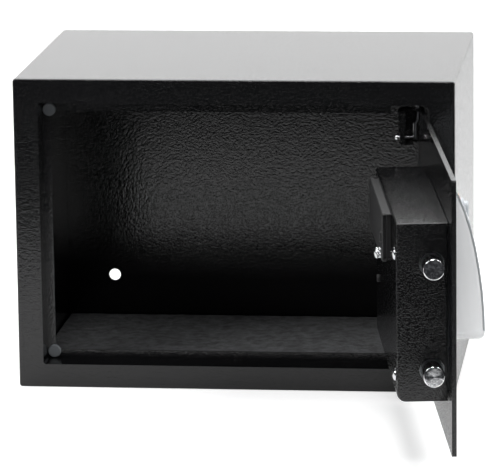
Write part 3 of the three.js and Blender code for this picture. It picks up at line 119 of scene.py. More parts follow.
aim = Matrix.Rotation(yaw, 3, "Z") @ Matrix.Rotation(pitch, 3, "X") @ Matrix.Rotation(roll, 3, "Y")
to_camera = Matrix.Rotation(math.radians(90), 3, "X")
camera_data = bpy.data.cameras.new("camera")
camera_data.lens = camera_data.sensor_width * focal_pixels / frame_pixels
camera = bpy.data.objects.new("camera", camera_data)
camera.matrix_world = Matrix.Translation(camera_place) @ (aim @ to_camera).to_4x4()
bpy.context.scene.collection.objects.link(camera)
bpy.context.scene.camera = camera
print(f"lens {camera_data.lens:.1f} mm, {camera_place.length:.2f} m from the origin")

# %% [markdown]
# ## A white table with a curved back
#
# The photograph has a plain white ground. A photographer gets it with a table whose back curves up
# into a wall. The black coat hardly has a colour of its own and shows what stands round it, as a
# mirror does: the light grey of the cabinet's top is this white wall, and that of its side is the
# table. The table's front edge splits the reflection in the lower bolt's end, and its place was
# fitted to that. The paper also glows where the camera or a reflection sees it, and less
# round the safe, where its shadow has to show.

# %% Table
table_front, table_back, table_side = -0.67, 7.6, 5.0
curve_radius, wall_height = 0.8, 7.5


def quarter_turn(steps):
    """The angles of a quarter of a circle in equal steps, without the first."""
    return [math.radians(90) * step / steps for step in range(1, steps + 1)]


table_mesh = bpy.data.meshes.new("table")
bm = bmesh.new()
profile = [Vector((0, table_front, 0)), Vector((0, table_back - curve_radius, 0))]
for angle in quarter_turn(12):
    profile.append(Vector((0, table_back - curve_radius * (1 - math.sin(angle)),
                           curve_radius * (1 - math.cos(angle)))))
profile.append(Vector((0, table_back, wall_height)))
rows = [[bm.verts.new(p + Vector((side, 0, 0))) for p in profile]
        for side in (-table_side, table_side)]
for i in range(len(profile) - 1):
    bm.faces.new((rows[0][i], rows[1][i], rows[1][i + 1], rows[0][i + 1])).smooth = True
bm.to_mesh(table_mesh)
bm.free()
table = bpy.data.objects.new("table", table_mesh)
bpy.context.scene.collection.objects.link(table)
print(f"table {2 * table_side:.0f} m wide, its wall {wall_height:.1f} m high")

# %% White paper
GLOW_NEAR, GLOW_FAR = 0.02, 1.32    # in a reflection: at the safe, and at the far wall
GLOW_SEEN = 0.35                    # added where the camera sees the paper itself
SHADOW_REACH = (0.9, 6.8)           # metres from the safe's middle

paper, paper_shader, paper_place = finish("white_backdrop_paper", "#f2f2f2", roughness=0.9)
paths = node(paper, "ShaderNodeLightPath")
seen = node(paper, "ShaderNodeMath", {0: paths.outputs["Is Camera Ray"],
                                      1: paths.outputs["Is Glossy Ray"]}, operation="MAXIMUM")
shown = node(paper, "ShaderNodeMath", {0: seen.outputs[0],
                                       1: paths.outputs["Is Transmission Ray"]},
             operation="MAXIMUM")
reach = node(paper, "ShaderNodeVectorMath", {0: paper_place}, operation="LENGTH")
level = node(paper, "ShaderNodeMapRange", {"Value": reach.outputs["Value"],
                                           "From Min": SHADOW_REACH[0],
                                           "From Max": SHADOW_REACH[1],
                                           "To Min": GLOW_NEAR, "To Max": GLOW_FAR})
mirrored = node(paper, "ShaderNodeMath", {0: shown.outputs[0], 1: level.outputs["Result"]},
                operation="MULTIPLY")
glow = node(paper, "ShaderNodeMath", {0: paths.outputs["Is Camera Ray"], 1: GLOW_SEEN,
                                      2: mirrored.outputs[0]}, operation="MULTIPLY_ADD")
paper_shader.inputs["Emission Color"].default_value = (1, 1, 1, 1)
link(paper, glow.outputs[0], paper_shader.inputs["Emission Strength"])
table_mesh.materials.append(paper)
print(f"paper that glows from {GLOW_NEAR} to {GLOW_FAR} in a reflection")

# %% [markdown]
# ## Lamps
#
# Three wide soft lamps and an even grey world light the safe, and a smaller lamp in front, higher
# than the camera, lights the mat and the fascia. Their power was set by comparing the render's
# light and dark areas with the photograph's. Past the table's edges the camera sees white, but a
# reflection sees a dim grey room, which darkens the bolts' ends and the cabinet's front. An image
# of a studio could light the scene too, but it would need a file.

# %% Lamps and world
world = bpy.data.worlds.new("studio")
world.use_nodes = True
room_paths = node(world, "ShaderNodeLightPath")
seen_past = node(world, "ShaderNodeMath", {0: room_paths.outputs["Is Camera Ray"],
                                           1: room_paths.outputs["Is Transmission Ray"]},
                 operation="MAXIMUM")
room = node(world, "ShaderNodeMix", {"Factor": seen_past.outputs[0]}, data_type="RGBA")
room.inputs["A"].default_value = linear("#47484a")
room.inputs["B"].default_value = linear("#ffffff")
link(world, room.outputs["Result"], world.node_tree.nodes["Background"].inputs["Color"])
bpy.context.scene.world = world
bpy.context.scene.view_settings.view_transform = "Standard"

LAMP_AIM = Vector((0, -0.05, 0.12))
LAMPS = {  # name: place, size, power in watts
    "lamp_left": ((-1.7, -1.6, 2.0), 1.3, 52),
    "lamp_right": ((1.9, -0.9, 1.9), 1.2, 44),
    "lamp_over": ((0.0, 0.7, 2.8), 1.5, 58),
    "lamp_front": ((0.15, -2.2, 2.3), 0.7, 28),
}
for name, (place, size, power) in LAMPS.items():
    lamp_data = bpy.data.lights.new(name, "AREA")
    lamp_data.shape = "SQUARE"
    lamp_data.size = size
    lamp_data.energy = power
    lamp = bpy.data.objects.new(name, lamp_data)
    lamp.location = place
    lamp.rotation_euler = (LAMP_AIM - lamp.location).to_track_quat("-Z", "Y").to_euler()
    bpy.context.scene.collection.objects.link(lamp)
print(f"{len(LAMPS)} lamps")

# %% [markdown]
# ## Black powder coat
#
# The cabinet, the door and the lock cover are sprayed with dry black powder and baked. The powder
# melts into a hard glossy skin that isn't quite level: it looks like the skin of an orange. The
# colour is almost black, so nearly all that the eye sees is the reflection, and the bumps break its
# edges up. A noise texture drives a bump for the soft dents, and a second, finer one gives the
# grit that catches a lamp as a bright speck. Bumps in the mesh itself would need millions of faces.
# They are about 2 mm apart on the cabinet. On the door's pieces they are lower and 1.5 mm apart,
# and the grit stands higher, so one function makes both coats.

# %% Powder coat
GRIT_SPACING = 0.9 * MM


def powder_coat(name, peel_spacing, peel_height, grit_height):
    coat, shader, place = finish(name, "#0a0a0b")
    bumps = node(coat, "ShaderNodeTexNoise", {"Vector": place, "Scale": 1 / (peel_spacing * MM),
                                              "Detail": 1.0, "Roughness": 0.4})
    fine = node(coat, "ShaderNodeTexNoise", {"Vector": place, "Scale": 1 / GRIT_SPACING,
                                             "Detail": 1.0, "Roughness": 0.5})
    specks = node(coat, "ShaderNodeMapRange", {"Value": fine.outputs["Fac"], "From Min": 0.5,
                                               "From Max": 0.72})
    low = node(coat, "ShaderNodeBump", {"Height": bumps.outputs["Fac"], "Strength": 1.0,
                                        "Distance": peel_height * MM})
    high = node(coat, "ShaderNodeBump", {"Height": specks.outputs["Result"], "Strength": 1.0,
                                         "Distance": grit_height * MM,
                                         "Normal": low.outputs["Normal"]})
    link(coat, high.outputs["Normal"], shader.inputs["Normal"])
    patchy = node(coat, "ShaderNodeMapRange", {"Value": bumps.outputs["Fac"], "From Min": 0.3,
                                               "From Max": 0.7, "To Min": 0.08, "To Max": 0.18})
    link(coat, patchy.outputs["Result"], shader.inputs["Roughness"])
    return coat


cabinet_coat = powder_coat("black_powder_coat_on_cabinet", 2.0, 0.13, 0.05)
door_coat = powder_coat("black_powder_coat_on_door", 1.5, 0.07, 0.13)
print(f"two powder coats with grit {GRIT_SPACING / MM:.1f} mm apart")

# %% [markdown]
# ## Bare metals
#
# The safe has several bare metals. The bolts are turned from bar and nickel-plated, and a lathe
# leaves fine rings on the end of a bar: a wave texture in rings round the bolt's own axis gives
# them. The plating has dulled in small patches, so its brightness follows a noise. The screws and
# hinge pins are bright zinc. The sheet pieces inside the lock are zinc-plated and passivated, with
# a soft cloudy grey. The key lock's body is brass and the solenoid's wire is copper. Real tool
# marks are about 0.1 mm apart, too fine to show here, so these are drawn 0.8 mm apart. An image of
# worn metal could do the same, but a formula keeps to real sizes and needs no file.
#
# Blender's wave texture repeats every 0.314 units at a scale of one, so `WAVE` over the distance
# wanted gives its scale.

# %% Turned nickel
TOOL_MARKS = 0.8 * MM
WAVE = 0.314


def varied_gloss(material, shader, place, spacing, detail, low, high):
    """Lets the roughness follow a noise of a spacing in millimetres, and gives that noise."""
    spots = node(material, "ShaderNodeTexNoise", {"Vector": place, "Scale": 1 / (spacing * MM),
                                                  "Detail": detail})
    gloss = node(material, "ShaderNodeMapRange", {"Value": spots.outputs["Fac"],
                                                  "To Min": low, "To Max": high})
    link(material, gloss.outputs["Result"], shader.inputs["Roughness"])
    return spots.outputs["Fac"]


turned_nickel, nickel_shader, nickel_place = finish("turned_nickel_plated_steel", "#c9cacb",
                                                    metallic=1.0)
rings = node(turned_nickel, "ShaderNodeTexWave",
             {"Vector": nickel_place, "Scale": WAVE / TOOL_MARKS, "Distortion": 1.5,
              "Detail": 2.0, "Detail Scale": 2.0}, wave_type="RINGS", rings_direction="Z")
wear = varied_gloss(turned_nickel, nickel_shader, nickel_place, 2.2, 3.0, 0.03, 0.08)
height = node(turned_nickel, "ShaderNodeMath", {0: rings.outputs["Fac"], 1: wear},
              operation="ADD")
marks = node(turned_nickel, "ShaderNodeBump", {"Height": height.outputs[0], "Strength": 1.0,
                                               "Distance": 0.012 * MM})
link(turned_nickel, marks.outputs["Normal"], nickel_shader.inputs["Normal"])
worn = node(turned_nickel, "ShaderNodeTexNoise", {"Vector": nickel_place,
                                                  "Scale": 1 / (1.6 * MM), "Detail": 2.0})
plating = node(turned_nickel, "ShaderNodeValToRGB", {"Fac": worn.outputs["Fac"]})
plating.color_ramp.elements[0].position, plating.color_ramp.elements[1].position = 0.4, 0.62
plating.color_ramp.elements[0].color = linear("#9d9ea0")
plating.color_ramp.elements[1].color = linear("#eeeff0")
link(turned_nickel, plating.outputs["Color"], nickel_shader.inputs["Base Color"])
print(f"nickel with tool marks {TOOL_MARKS / MM:.1f} mm apart")

# %% Zinc, brass and copper
WIRE_SPACING = 0.6 * MM


def clouded_metal(name, colour, *cloud):
    metal, shader, place = finish(name, colour, metallic=1.0)
    varied_gloss(metal, shader, place, *cloud)
    return metal


bright_zinc = clouded_metal("bright_zinc_plated_steel", "#cdced0", 1.5, 3.0, 0.1, 0.26)
zinc = clouded_metal("zinc_plated_sheet_steel", "#b9bcbf", 9.0, 4.0, 0.28, 0.48)
brass = clouded_metal("turned_brass", "#cfb06a", 6.0, 3.0, 0.2, 0.42)

winding, winding_shader, winding_place = finish("enamelled_copper_wire", "#a5602f", metallic=1.0,
                                                roughness=0.3)
turns = node(winding, "ShaderNodeTexWave", {"Vector": winding_place,
                                            "Scale": WAVE / WIRE_SPACING},
             wave_type="BANDS", bands_direction="Z")
wires = node(winding, "ShaderNodeBump", {"Height": turns.outputs["Fac"], "Strength": 0.8,
                                         "Distance": 0.2 * MM})
link(winding, wires.outputs["Normal"], winding_shader.inputs["Normal"])
print(f"copper wire {WIRE_SPACING / MM:.1f} mm apart")

# %% [markdown]
# ## Plastics and rubber
#
# The front of the door is injection-moulded ABS, sprayed silver, and the battery cover is plain
# black ABS with a fine spark-eroded grain from its mould. Each could have nodes of its own, but
# they differ in a few numbers only, so one function makes them all: one noise gives a moulding its
# grain and varies its gloss.

# %% Plastics and rubber
MOULD_GRAIN = 0.6       # millimetres from one grain to the next
GLOSS_RANGE = 0.15      # share by which a moulding's roughness varies


def moulded(name, colour, roughness, metallic=0.0, grain=0.15):
    plastic, shader, place = finish(name, colour, metallic=metallic)
    spots = varied_gloss(plastic, shader, place, MOULD_GRAIN, 2.0,
                         roughness * (1 - GLOSS_RANGE), roughness * (1 + GLOSS_RANGE))
    skin = node(plastic, "ShaderNodeBump", {"Height": spots, "Strength": grain,
                                            "Distance": 0.05 * MM})
    link(plastic, skin.outputs["Normal"], shader.inputs["Normal"])
    return plastic


silver_abs = moulded("sprayed_silver_abs", "#f3f4f5", 0.32, metallic=0.08)
satin_abs = moulded("satin_silver_abs", "#bcc0c4", 0.3, metallic=0.3)
panel_abs = moulded("satin_grey_abs_panel", "#b4b8bb", 0.32, metallic=0.25)
key_abs = moulded("light_grey_key_abs", "#cfd1d3", 0.45)
black_abs = moulded("black_abs", "#161617", 0.55, grain=0.5)
grey_rubber = moulded("grey_bumper_rubber", "#5d6063", 0.7, grain=0.3)
cell_sleeve = moulded("plain_printed_cell_sleeve", "#5b6470", 0.3, grain=0.05)
LAMP_TINTS = {"red": "#c8463a", "amber": "#d9962f", "green": "#3f9a4c"}
lamp_acrylic = {tint: moulded(f"tinted_{tint}_lamp_acrylic", colour, 0.12, grain=0.05)
                for tint, colour in LAMP_TINTS.items()}
board_green = moulded("green_solder_mask", "#1f5a35", 0.3, grain=0.2)
print(f"mouldings with grains {MOULD_GRAIN} mm apart")

# %% [markdown]
# ## Dark grey felt
#
# The mat is needle-punched polyester felt: short fibres of several greys, matted by barbed needles
# and not woven. Its fuzz catches light at a flat angle, which the shader's sheen gives. The grey is
# mottled in clumps of about 7 mm. Real fibres are far finer than a pixel, so they are drawn 1 mm
# apart. Hair strands could stand for the fuzz, but a bump is far lighter to render.

# %% Felt
FIBRE_SPACING = 1.0 * MM
CLUMP_SPACING = 7.0 * MM

felt, felt_shader, felt_place = finish("needle_punched_grey_felt", "#5a5b5e", roughness=1.0,
                                       sheen_weight=0.12, sheen_roughness=0.5)
clumps = node(felt, "ShaderNodeTexNoise", {"Vector": felt_place, "Scale": 1 / CLUMP_SPACING,
                                           "Detail": 3.0, "Roughness": 0.6})
fibres = node(felt, "ShaderNodeTexNoise", {"Vector": felt_place, "Scale": 1 / FIBRE_SPACING,
                                           "Detail": 3.0, "Roughness": 0.7})
greys = node(felt, "ShaderNodeMix", {"Factor": 0.35, "A": clumps.outputs["Fac"],
                                     "B": fibres.outputs["Fac"]})
shade = node(felt, "ShaderNodeValToRGB", {"Fac": greys.outputs[0]})
shade.color_ramp.elements[0].position, shade.color_ramp.elements[1].position = 0.37, 0.63
shade.color_ramp.elements[0].color = linear("#0d0e0f")
shade.color_ramp.elements[1].color = linear("#58595c")
link(felt, shade.outputs["Color"], felt_shader.inputs["Base Color"])
nap = node(felt, "ShaderNodeBump", {"Height": fibres.outputs["Fac"], "Strength": 1.0,
                                    "Distance": 0.8 * MM})
link(felt, nap.outputs["Normal"], felt_shader.inputs["Normal"])
print(f"felt in clumps of {CLUMP_SPACING / MM:.0f} mm")

# %% [markdown]
# ## Give each CAD node its finish
#
# The record already says which slot each node takes, so the finishes are assigned by slot. A few
# nodes that share a slot get a finish of their own. A node keeps its shape: only its material
# changes.

# %% Finishes for the CAD nodes
FINISH_OF_SLOT = {
    "black_coat": door_coat, "bright_steel": bright_zinc, "zinc_steel": zinc,
    "grey_rubber": grey_rubber, "felt": felt, "black_plastic": black_abs,
    "silver_plastic": silver_abs, "face_plastic": panel_abs, "key_plastic": key_abs,
    "board": board_green, "coil": winding, "brass": brass, "cell_sleeve": cell_sleeve,
    "lamp": lamp_acrylic["red"],
}
FINISH_OF_NODE = {"body_shell": cabinet_coat, "door_frame": cabinet_coat,
                  "back_panel": cabinet_coat, "bolt_upper": turned_nickel,
                  "bolt_lower": turned_nickel, "key_cover": satin_abs, "knob": satin_abs}
slot_of = {part["node"]: part["material_slot"] for part in frame["record"]["subparts"]}
body_of = {name: body for body, names in frame["record"]["behaviour"]["bodies"].items()
           for name in names}
for name, slot in slot_of.items():
    nodes[name].data.materials.clear()
    nodes[name].data.materials.append(FINISH_OF_NODE.get(name, FINISH_OF_SLOT[slot]))
print(f"finishes on {len(slot_of)} nodes")

# %% [markdown]
# ## Three tools for making pieces
#
# Most pieces here are made in one of three ways. A *softened* piece is a finer copy of a CAD node:
# its flat triangles are joined to whole faces, its edges get the small round that paint or a mould
# leaves, and weighted normals keep the large faces looking flat. A *turned* piece is a profile spun
# round an axis, as on a lathe. Anything else is built point by point, with a band of faces between
# one loop of points and the next. `new_piece` puts each of them on its CAD body, so that it moves
# with the right joint.

# %% Make a piece from a mesh
def new_piece(name, bm, look, body, stands_for=(), place=Matrix(), sharp=35):
    mesh = bpy.data.meshes.new(name)
    bmesh.ops.recalc_face_normals(bm, faces=bm.faces)
    bm.to_mesh(mesh)
    bm.free()
    mesh.shade_smooth()
    mesh.set_sharp_from_angle(angle=math.radians(sharp))
    mesh.materials.append(look)
    piece = bpy.data.objects.new(name, mesh)
    piece.matrix_world = place
    bpy.context.scene.collection.objects.link(piece)
    piece.modifiers.new("even shading", "WEIGHTED_NORMAL").keep_sharp = True
    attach(piece, body)
    if stands_for:
        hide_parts(*stands_for)
    return piece


# %% Soften a CAD node
WELD = 0.001 * MM
FLAT_ANGLE, CREASE_ANGLE = math.radians(0.5), math.radians(40)


def along(name, direction):
    """The points where a node begins and ends along a direction, on its middle line."""
    reach = [v.co.dot(direction) for v in nodes[name].data.vertices]
    low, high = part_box(name)
    middle = (low + high) / 2
    return [middle + direction * (end - middle.dot(direction)) for end in (min(reach), max(reach))]


def softened(name, edge, place=Matrix()):
    bm = bmesh.new()
    bm.from_mesh(nodes[name].data)
    bmesh.ops.remove_doubles(bm, verts=bm.verts, dist=WELD)
    bmesh.ops.dissolve_limit(bm, angle_limit=FLAT_ANGLE, verts=bm.verts, edges=bm.edges)
    creases = [e for e in bm.edges if e.is_manifold and e.calc_face_angle() > CREASE_ANGLE]
    bmesh.ops.bevel(bm, geom=creases, offset=edge * MM, offset_type="OFFSET", segments=2,
                    profile=0.6, affect="EDGES", clamp_overlap=True)
    bmesh.ops.transform(bm, matrix=place.inverted(), verts=bm.verts)
    return new_piece(f"{name}_finished", bm, nodes[name].data.materials[0], body_of[name],
                     [name], place)


# %% Turn a profile on a lathe
def turned(profile, steps=48, ripple=None):
    """Profile is (radius, height) in millimetres, from the axis round to the axis again."""
    bm = bmesh.new()
    rings = []
    for radius, height in profile:
        spots = []
        for step in range(steps if radius else 1):
            angle = 2 * math.pi * step / steps
            r = radius + (ripple(angle, radius, height) if ripple and radius else 0)
            spots.append(bm.verts.new((r * MM * math.cos(angle), r * MM * math.sin(angle),
                                       height * MM)))
        rings.append(spots)
    for low, high in zip(rings, rings[1:]):
        for i in range(steps):
            corners = [low[i % len(low)], low[(i + 1) % steps % len(low)],
                       high[(i + 1) % steps % len(high)], high[i % len(high)]]
            bm.faces.new(list(dict.fromkeys(corners)))
    return bm


def band(bm, low, high):
    """Adds a ring of faces between two loops that have as many points as each other."""
    for i in range(len(low)):
        j = (i + 1) % len(low)
        bm.faces.new((low[i], low[j], high[j], high[i]))


def standing(point, direction):
    """Turns a piece made upright, so that its Z points along a direction from a point."""
    return Matrix.Translation(point) @ direction.to_track_quat("Z", "Y").to_matrix().to_4x4()


hinge = next(j for j in frame["joints"] if j["name"] == "door_hinge")
swing = Matrix.Rotation(math.radians(-hinge["range_deg"][0]), 3, "Z")
ACROSS, INWARD = swing @ Vector((1, 0, 0)), swing @ Vector((0, 1, 0))
UP = Vector((0, 0, 1))
print(f"the door stands {-hinge['range_deg'][0]} degrees open")

# %% [markdown]
# ## The steel pieces, with soft edges
#
# Sheet steel that has been sprayed has no sharp edge left: the powder builds up a round of a few
# tenths of a millimetre, and that round draws a thin bright line. The cabinet, the door and its
# bent pieces are right in shape, so they are softened copies. A bevel in the shader could draw the
# line too, but it wouldn't be in the mesh.

# %% Cabinet, door and lock cover
STEEL_EDGES = {  # node: how far its round reaches, in millimetres
    "body_shell": 0.6, "door_frame": 0.6, "back_panel": 0.3, "door_plate": 0.5,
    "lock_cover": 0.3, "hinge_bracket_upper": 0.4, "hinge_bracket_lower": 0.4,
    "pivot_bush_upper": 0.2, "pivot_bush_lower": 0.2,
}
for name, edge in STEEL_EDGES.items():
    softened(name, edge)
print(f"{len(STEEL_EDGES)} steel pieces softened")

# %% [markdown]
# ## The felt mat
#
# The mat is one rectangle of felt, 345 by 245 mm, laid on the cabinet's floor. A sheet of cloth is
# never quite level, and its cut edge wanders a little. A fine grid of points is lifted by noise,
# and its rim is pulled in by about a millimetre at most. A cloth simulation could lay it down, but
# on a flat floor there is nothing to drape.

# %% Felt mat
mat_low, mat_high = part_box("floor_mat")
MAT_CELL = 3.5 * MM
MAT_MIDDLE, MAT_RIM = 2.7, 2.1          # millimetres, as are the rest: how thick the mat is
EDGE_PULL, EDGE_REACH = 0.4, 30         # how far the cut edge wanders, and over what length
FUZZ_LIFT, FUZZ_REACH = 0.25, 6         # the same for the surface's fuzz
WAVE_LIFT, WAVE_REACH = 0.35, 40        # and for its long waves
columns, rows_deep = (round((mat_high[i] - mat_low[i]) / MAT_CELL) for i in (0, 1))
bm = bmesh.new()
layers = []
for level in (0, 1):
    grid = {}
    for i in range(columns + 1):
        for j in range(rows_deep + 1):
            u, v = i / columns, j / rows_deep
            spot = Vector((mat_low.x + (mat_high.x - mat_low.x) * u,
                           mat_low.y + (mat_high.y - mat_low.y) * v, mat_low.z))
            wander = noise.noise(spot / (EDGE_REACH * MM)) + 1
            pulled = (EDGE_PULL * wander + EDGE_PULL * level) * MM
            if i in (0, columns):
                spot.x += pulled * (1 if i == 0 else -1)
            if j in (0, rows_deep):
                spot.y += pulled * (1 if j == 0 else -1)
            from_rim = min(i, j, columns - i, rows_deep - j)
            thickness = MAT_RIM if from_rim == 0 else MAT_MIDDLE
            fuzz = FUZZ_LIFT * noise.noise(spot / (FUZZ_REACH * MM))
            fuzz += WAVE_LIFT * noise.noise(spot / (WAVE_REACH * MM))
            spot.z += level * (thickness + fuzz) * MM
            grid[i, j] = bm.verts.new(spot)
    for i in range(columns):
        for j in range(rows_deep):
            corners = [grid[i, j], grid[i + 1, j], grid[i + 1, j + 1], grid[i, j + 1]]
            bm.faces.new(corners if level else corners[::-1])
    layers.append(grid)
low, high = layers
rim_spots = [(i, 0) for i in range(columns)] + [(columns, j) for j in range(rows_deep)]
rim_spots += [(i, rows_deep) for i in range(columns, 0, -1)]
rim_spots += [(0, j) for j in range(rows_deep, 0, -1)]
band(bm, [low[spot] for spot in rim_spots], [high[spot] for spot in rim_spots])
mat = new_piece("felt_mat", bm, felt, "cabinet", ["floor_mat"], sharp=180)
print(f"felt mat of {columns} x {rows_deep} cells")

# %% [markdown]
# ## Bolts and hinge pins
#
# A bolt is a turned bar 16 mm thick, with a small chamfer at its tail and a worn edge at its tip.
# Its profile is spun round the axis in 72 steps, rounder than a softened copy would be. The worn
# edge is an arc, because a round edge mirrors many directions at once and so draws a bright ring.
# The cranked hinge pins are softened copies.

# %% Bolts and pins
BOLT_RADIUS, WORN_EDGE, CHAMFER = 8.0, 1.1, 0.4
for name in ("bolt_upper", "bolt_lower"):
    tail, tip = along(name, ACROSS * -1)
    length = (tip - tail).length / MM
    profile = [(0, 0), (BOLT_RADIUS - CHAMFER, 0), (BOLT_RADIUS, CHAMFER),
               (BOLT_RADIUS, length - WORN_EDGE)]
    for angle in quarter_turn(5):
        profile.append((BOLT_RADIUS - WORN_EDGE * (1 - math.cos(angle)),
                        length - WORN_EDGE * (1 - math.sin(angle))))
    profile += [(BOLT_RADIUS / 2, length), (0, length)]
    new_piece(f"{name}_turned", turned(profile, 72), turned_nickel, "bolts", [name],
              standing(tail, ACROSS * -1), sharp=50)
for name in ("hinge_pin_upper", "hinge_pin_lower"):
    low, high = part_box(name)
    softened(name, 0.3, Matrix.Translation((low + high) / 2))
print("two bolts and two hinge pins")

# %% [markdown]
# ## Screws with a cross recess
#
# Each screw is a turned head and shank with a cross-shaped recess cut into it, as a punch forms it
# in the real one. The cross tapers, so its cutter is a cross that gets smaller towards its bottom.
# The recess could be modelled into each head, but one cutter fits every size. A Boolean modifier
# cuts it, and the cut is made part of the mesh.

# %% Cut a cross recess
CROSS_SLIM = 9                          # the cross's size over half the width of its arms
CROSS_BOTTOM, CROSS_ABOVE = 0.55, 1.1   # shares of its size: at its bottom, and over the head


def cross_outline(half, arm):
    """Corners of a cross, from half the width of its arms and their length."""
    return [(half, half), (half, arm), (-half, arm), (-half, half), (-arm, half), (-arm, -half),
            (-half, -half), (-half, -arm), (half, -arm), (half, -half), (arm, -half), (arm, half)]


def recessed(bm, top, size, depth):
    """Cuts a tapering cross of a size into a head whose top is at a height; all in mm."""
    corner = cross_outline(size / CROSS_SLIM, size / 2)
    cutter = bmesh.new()
    ends = []
    for share, height in ((CROSS_BOTTOM, top - depth), (CROSS_ABOVE, top + 1)):
        ends.append([cutter.verts.new((x * share * MM, y * share * MM, height * MM))
                     for x, y in corner])
    cutter.faces.new(ends[0][::-1])
    cutter.faces.new(ends[1])
    band(cutter, *ends)
    bodies = []
    for title, part in (("head", bm), ("punch", cutter)):
        bmesh.ops.recalc_face_normals(part, faces=part.faces)
        mesh = bpy.data.meshes.new(title)
        part.to_mesh(mesh)
        part.free()
        bodies.append(bpy.data.objects.new(title, mesh))
        bpy.context.scene.collection.objects.link(bodies[-1])
    cut = bodies[0].modifiers.new("recess", "BOOLEAN")
    cut.operation, cut.solver, cut.object = "DIFFERENCE", "EXACT", bodies[1]
    shaped = bmesh.new()
    shaped.from_object(bodies[0], bpy.context.evaluated_depsgraph_get())
    for helper in bodies:
        bpy.data.objects.remove(helper)
    return shaped


# %% Screws
def dome(radius, height, steps=7):
    """Profile points of a low round head, from its rim to the axis."""
    points = [(radius * math.cos(a), height * math.sin(a)) for a in [0] + quarter_turn(steps)]
    return points[:-1] + [(0, height)]


RIM, RECESS = 0.12, 0.55    # shares of a head's height: its straight rim, and its recess
TIP = 0.7                   # the radius of a shank's tip, as a share of the shank's
SCREWS = {  # node: direction its head points in, head radius, head height, shank radius, cross
    "cover_screw_1": (INWARD, 4.65, 2.5, 1.7, 5.2),
    "cover_screw_2": (INWARD, 4.65, 2.5, 1.7, 5.2),
    "hinge_pin_screw_upper": (INWARD, 2.65, 3.0, 1.35, 3.2),
    "hinge_pin_screw_lower": (INWARD, 2.65, 3.0, 1.35, 3.2),
}
for name, (direction, radius, height, shank, cross) in SCREWS.items():
    tail, top = along(name, direction)
    length = (top - tail).length / MM
    profile = [(0, height - length), (shank * TIP, height - length),
               (shank, height - length + 0.6), (shank, 0), (radius * 0.96, 0),
               (radius, height * RIM)]
    profile += [(r, height * RIM + z) for r, z in dome(radius, height * (1 - RIM))[1:]]
    screw = recessed(turned(profile), height, cross, height * RECESS)
    new_piece(f"{name}_recessed", screw, bright_zinc, body_of[name], [name],
              standing(top - direction * height * MM, direction))
print(f"{len(SCREWS)} screws with a cross recess")

# %% [markdown]
# ## The battery cover and its thumbscrew
#
# The battery cover is moulded in black ABS: a plate on a narrower skirt, as the CAD node has it,
# with the small rounds of a mould. The tray behind it gets the same. Its thumbscrew is turned in
# one piece, a low dome with a cross recess over a knurled collar. A knurl is a ring of fine teeth.
# They could be cut one by one, but letting the profile's radius ripple makes them all at once.

# %% Battery cover
softened("battery_cover", 0.3)
softened("battery_tray", 0.2)

tail, top = along("battery_cover_screw", INWARD)
length = (top - tail).length / MM
HEAD, COLLAR, SHANK = 4.1, 3.7, 2.1                     # radii in millimetres
CROWN, COLLAR_TOP, COLLAR_FOOT = 2.8, 3.4, 5.5          # how far below the screw's top
COLLAR_EDGE, KNURL_TEETH, KNURL_DEPTH = 0.3, 30, 0.12


def knurl(angle, radius, height):
    if radius <= SHANK + 1 or height >= length - CROWN / 2:
        return 0
    return KNURL_DEPTH * math.cos(KNURL_TEETH * angle)


profile = [(0, 0), (SHANK - 0.5, 0), (SHANK, 0.6), (SHANK, length - COLLAR_FOOT - 0.1),
           (COLLAR - COLLAR_EDGE, length - COLLAR_FOOT),
           (COLLAR, length - COLLAR_FOOT + COLLAR_EDGE),
           (COLLAR, length - COLLAR_TOP - COLLAR_EDGE),
           (COLLAR - COLLAR_EDGE, length - COLLAR_TOP),
           (SHANK, length - COLLAR_TOP), (SHANK, length - CROWN), (HEAD - 0.2, length - CROWN),
           (HEAD, length - CROWN + 0.2)]
profile += [(r, length - CROWN + 0.4 + z) for r, z in dome(HEAD, CROWN - 0.4)]
thumbscrew = recessed(turned(profile, 90, knurl), length, 4.6, 1.4)
new_piece("battery_cover_thumbscrew", thumbscrew, bright_zinc, "battery_door",
          ["battery_cover_screw"], standing(tail, INWARD))
print(f"thumbscrew {length:.1f} mm long")

# %% [markdown]
# ## The moulded front
#
# The fascia is one moulding, sprayed silver, with a satin panel let into it. Its arc has few facets
# in the CAD, and smooth shading turns them into one curve. The swinging cover in front of the key
# lock, the keys and the reset button are moulded too. They could be modelled anew, but their shapes
# are right, so all are softened copies.

# %% Fascia, panel, key cover and keys
MOULDED_EDGES = {"fascia_housing": 0.5, "face_panel": 0.3, "key_cover": 0.5, "reset_button": 0.3}
for name, edge in MOULDED_EDGES.items():
    softened(name, edge)
KEY_EDGE = 0.45
KEY_NAMES = [name for name in nodes if name.startswith("key_") and body_of[name].endswith("_cap")]
for name in KEY_NAMES:
    softened(name, KEY_EDGE)
print(f"{len(KEY_NAMES)} keys")

# %% [markdown]
# ## Figures on the keys
#
# The keys carry plain figures, pad-printed in black: a thin film of ink on the key's face.
# Blender's built-in font gives the outlines. Each is turned to a mesh that stands a tenth of a
# millimetre out of its key and as far into it, square to the way that the key is pressed. The clear
# and enter keys get a bare cross and a bare ring, drawn as outlines of points. An image could carry
# the figures, but a mesh stays sharp from close by and needs no file.

# %% Ink and outlines
INK = moulded("pad_printed_black_ink", "#232426", 0.5, grain=0.1)
FIGURE_HEIGHT, INK_FILM, BOLDER = 7.0 * MM, 0.1 * MM, 0.08 * MM
SIGN_HALF, SIGN_ARM = 0.35, 2.2         # the clear key's cross, in millimetres
SIGN_OUTER, SIGN_INNER = 2.3, 1.6       # the enter key's ring
press_of = {joint["child"]: Vector(joint["axis"]) for joint in frame["joints"]}


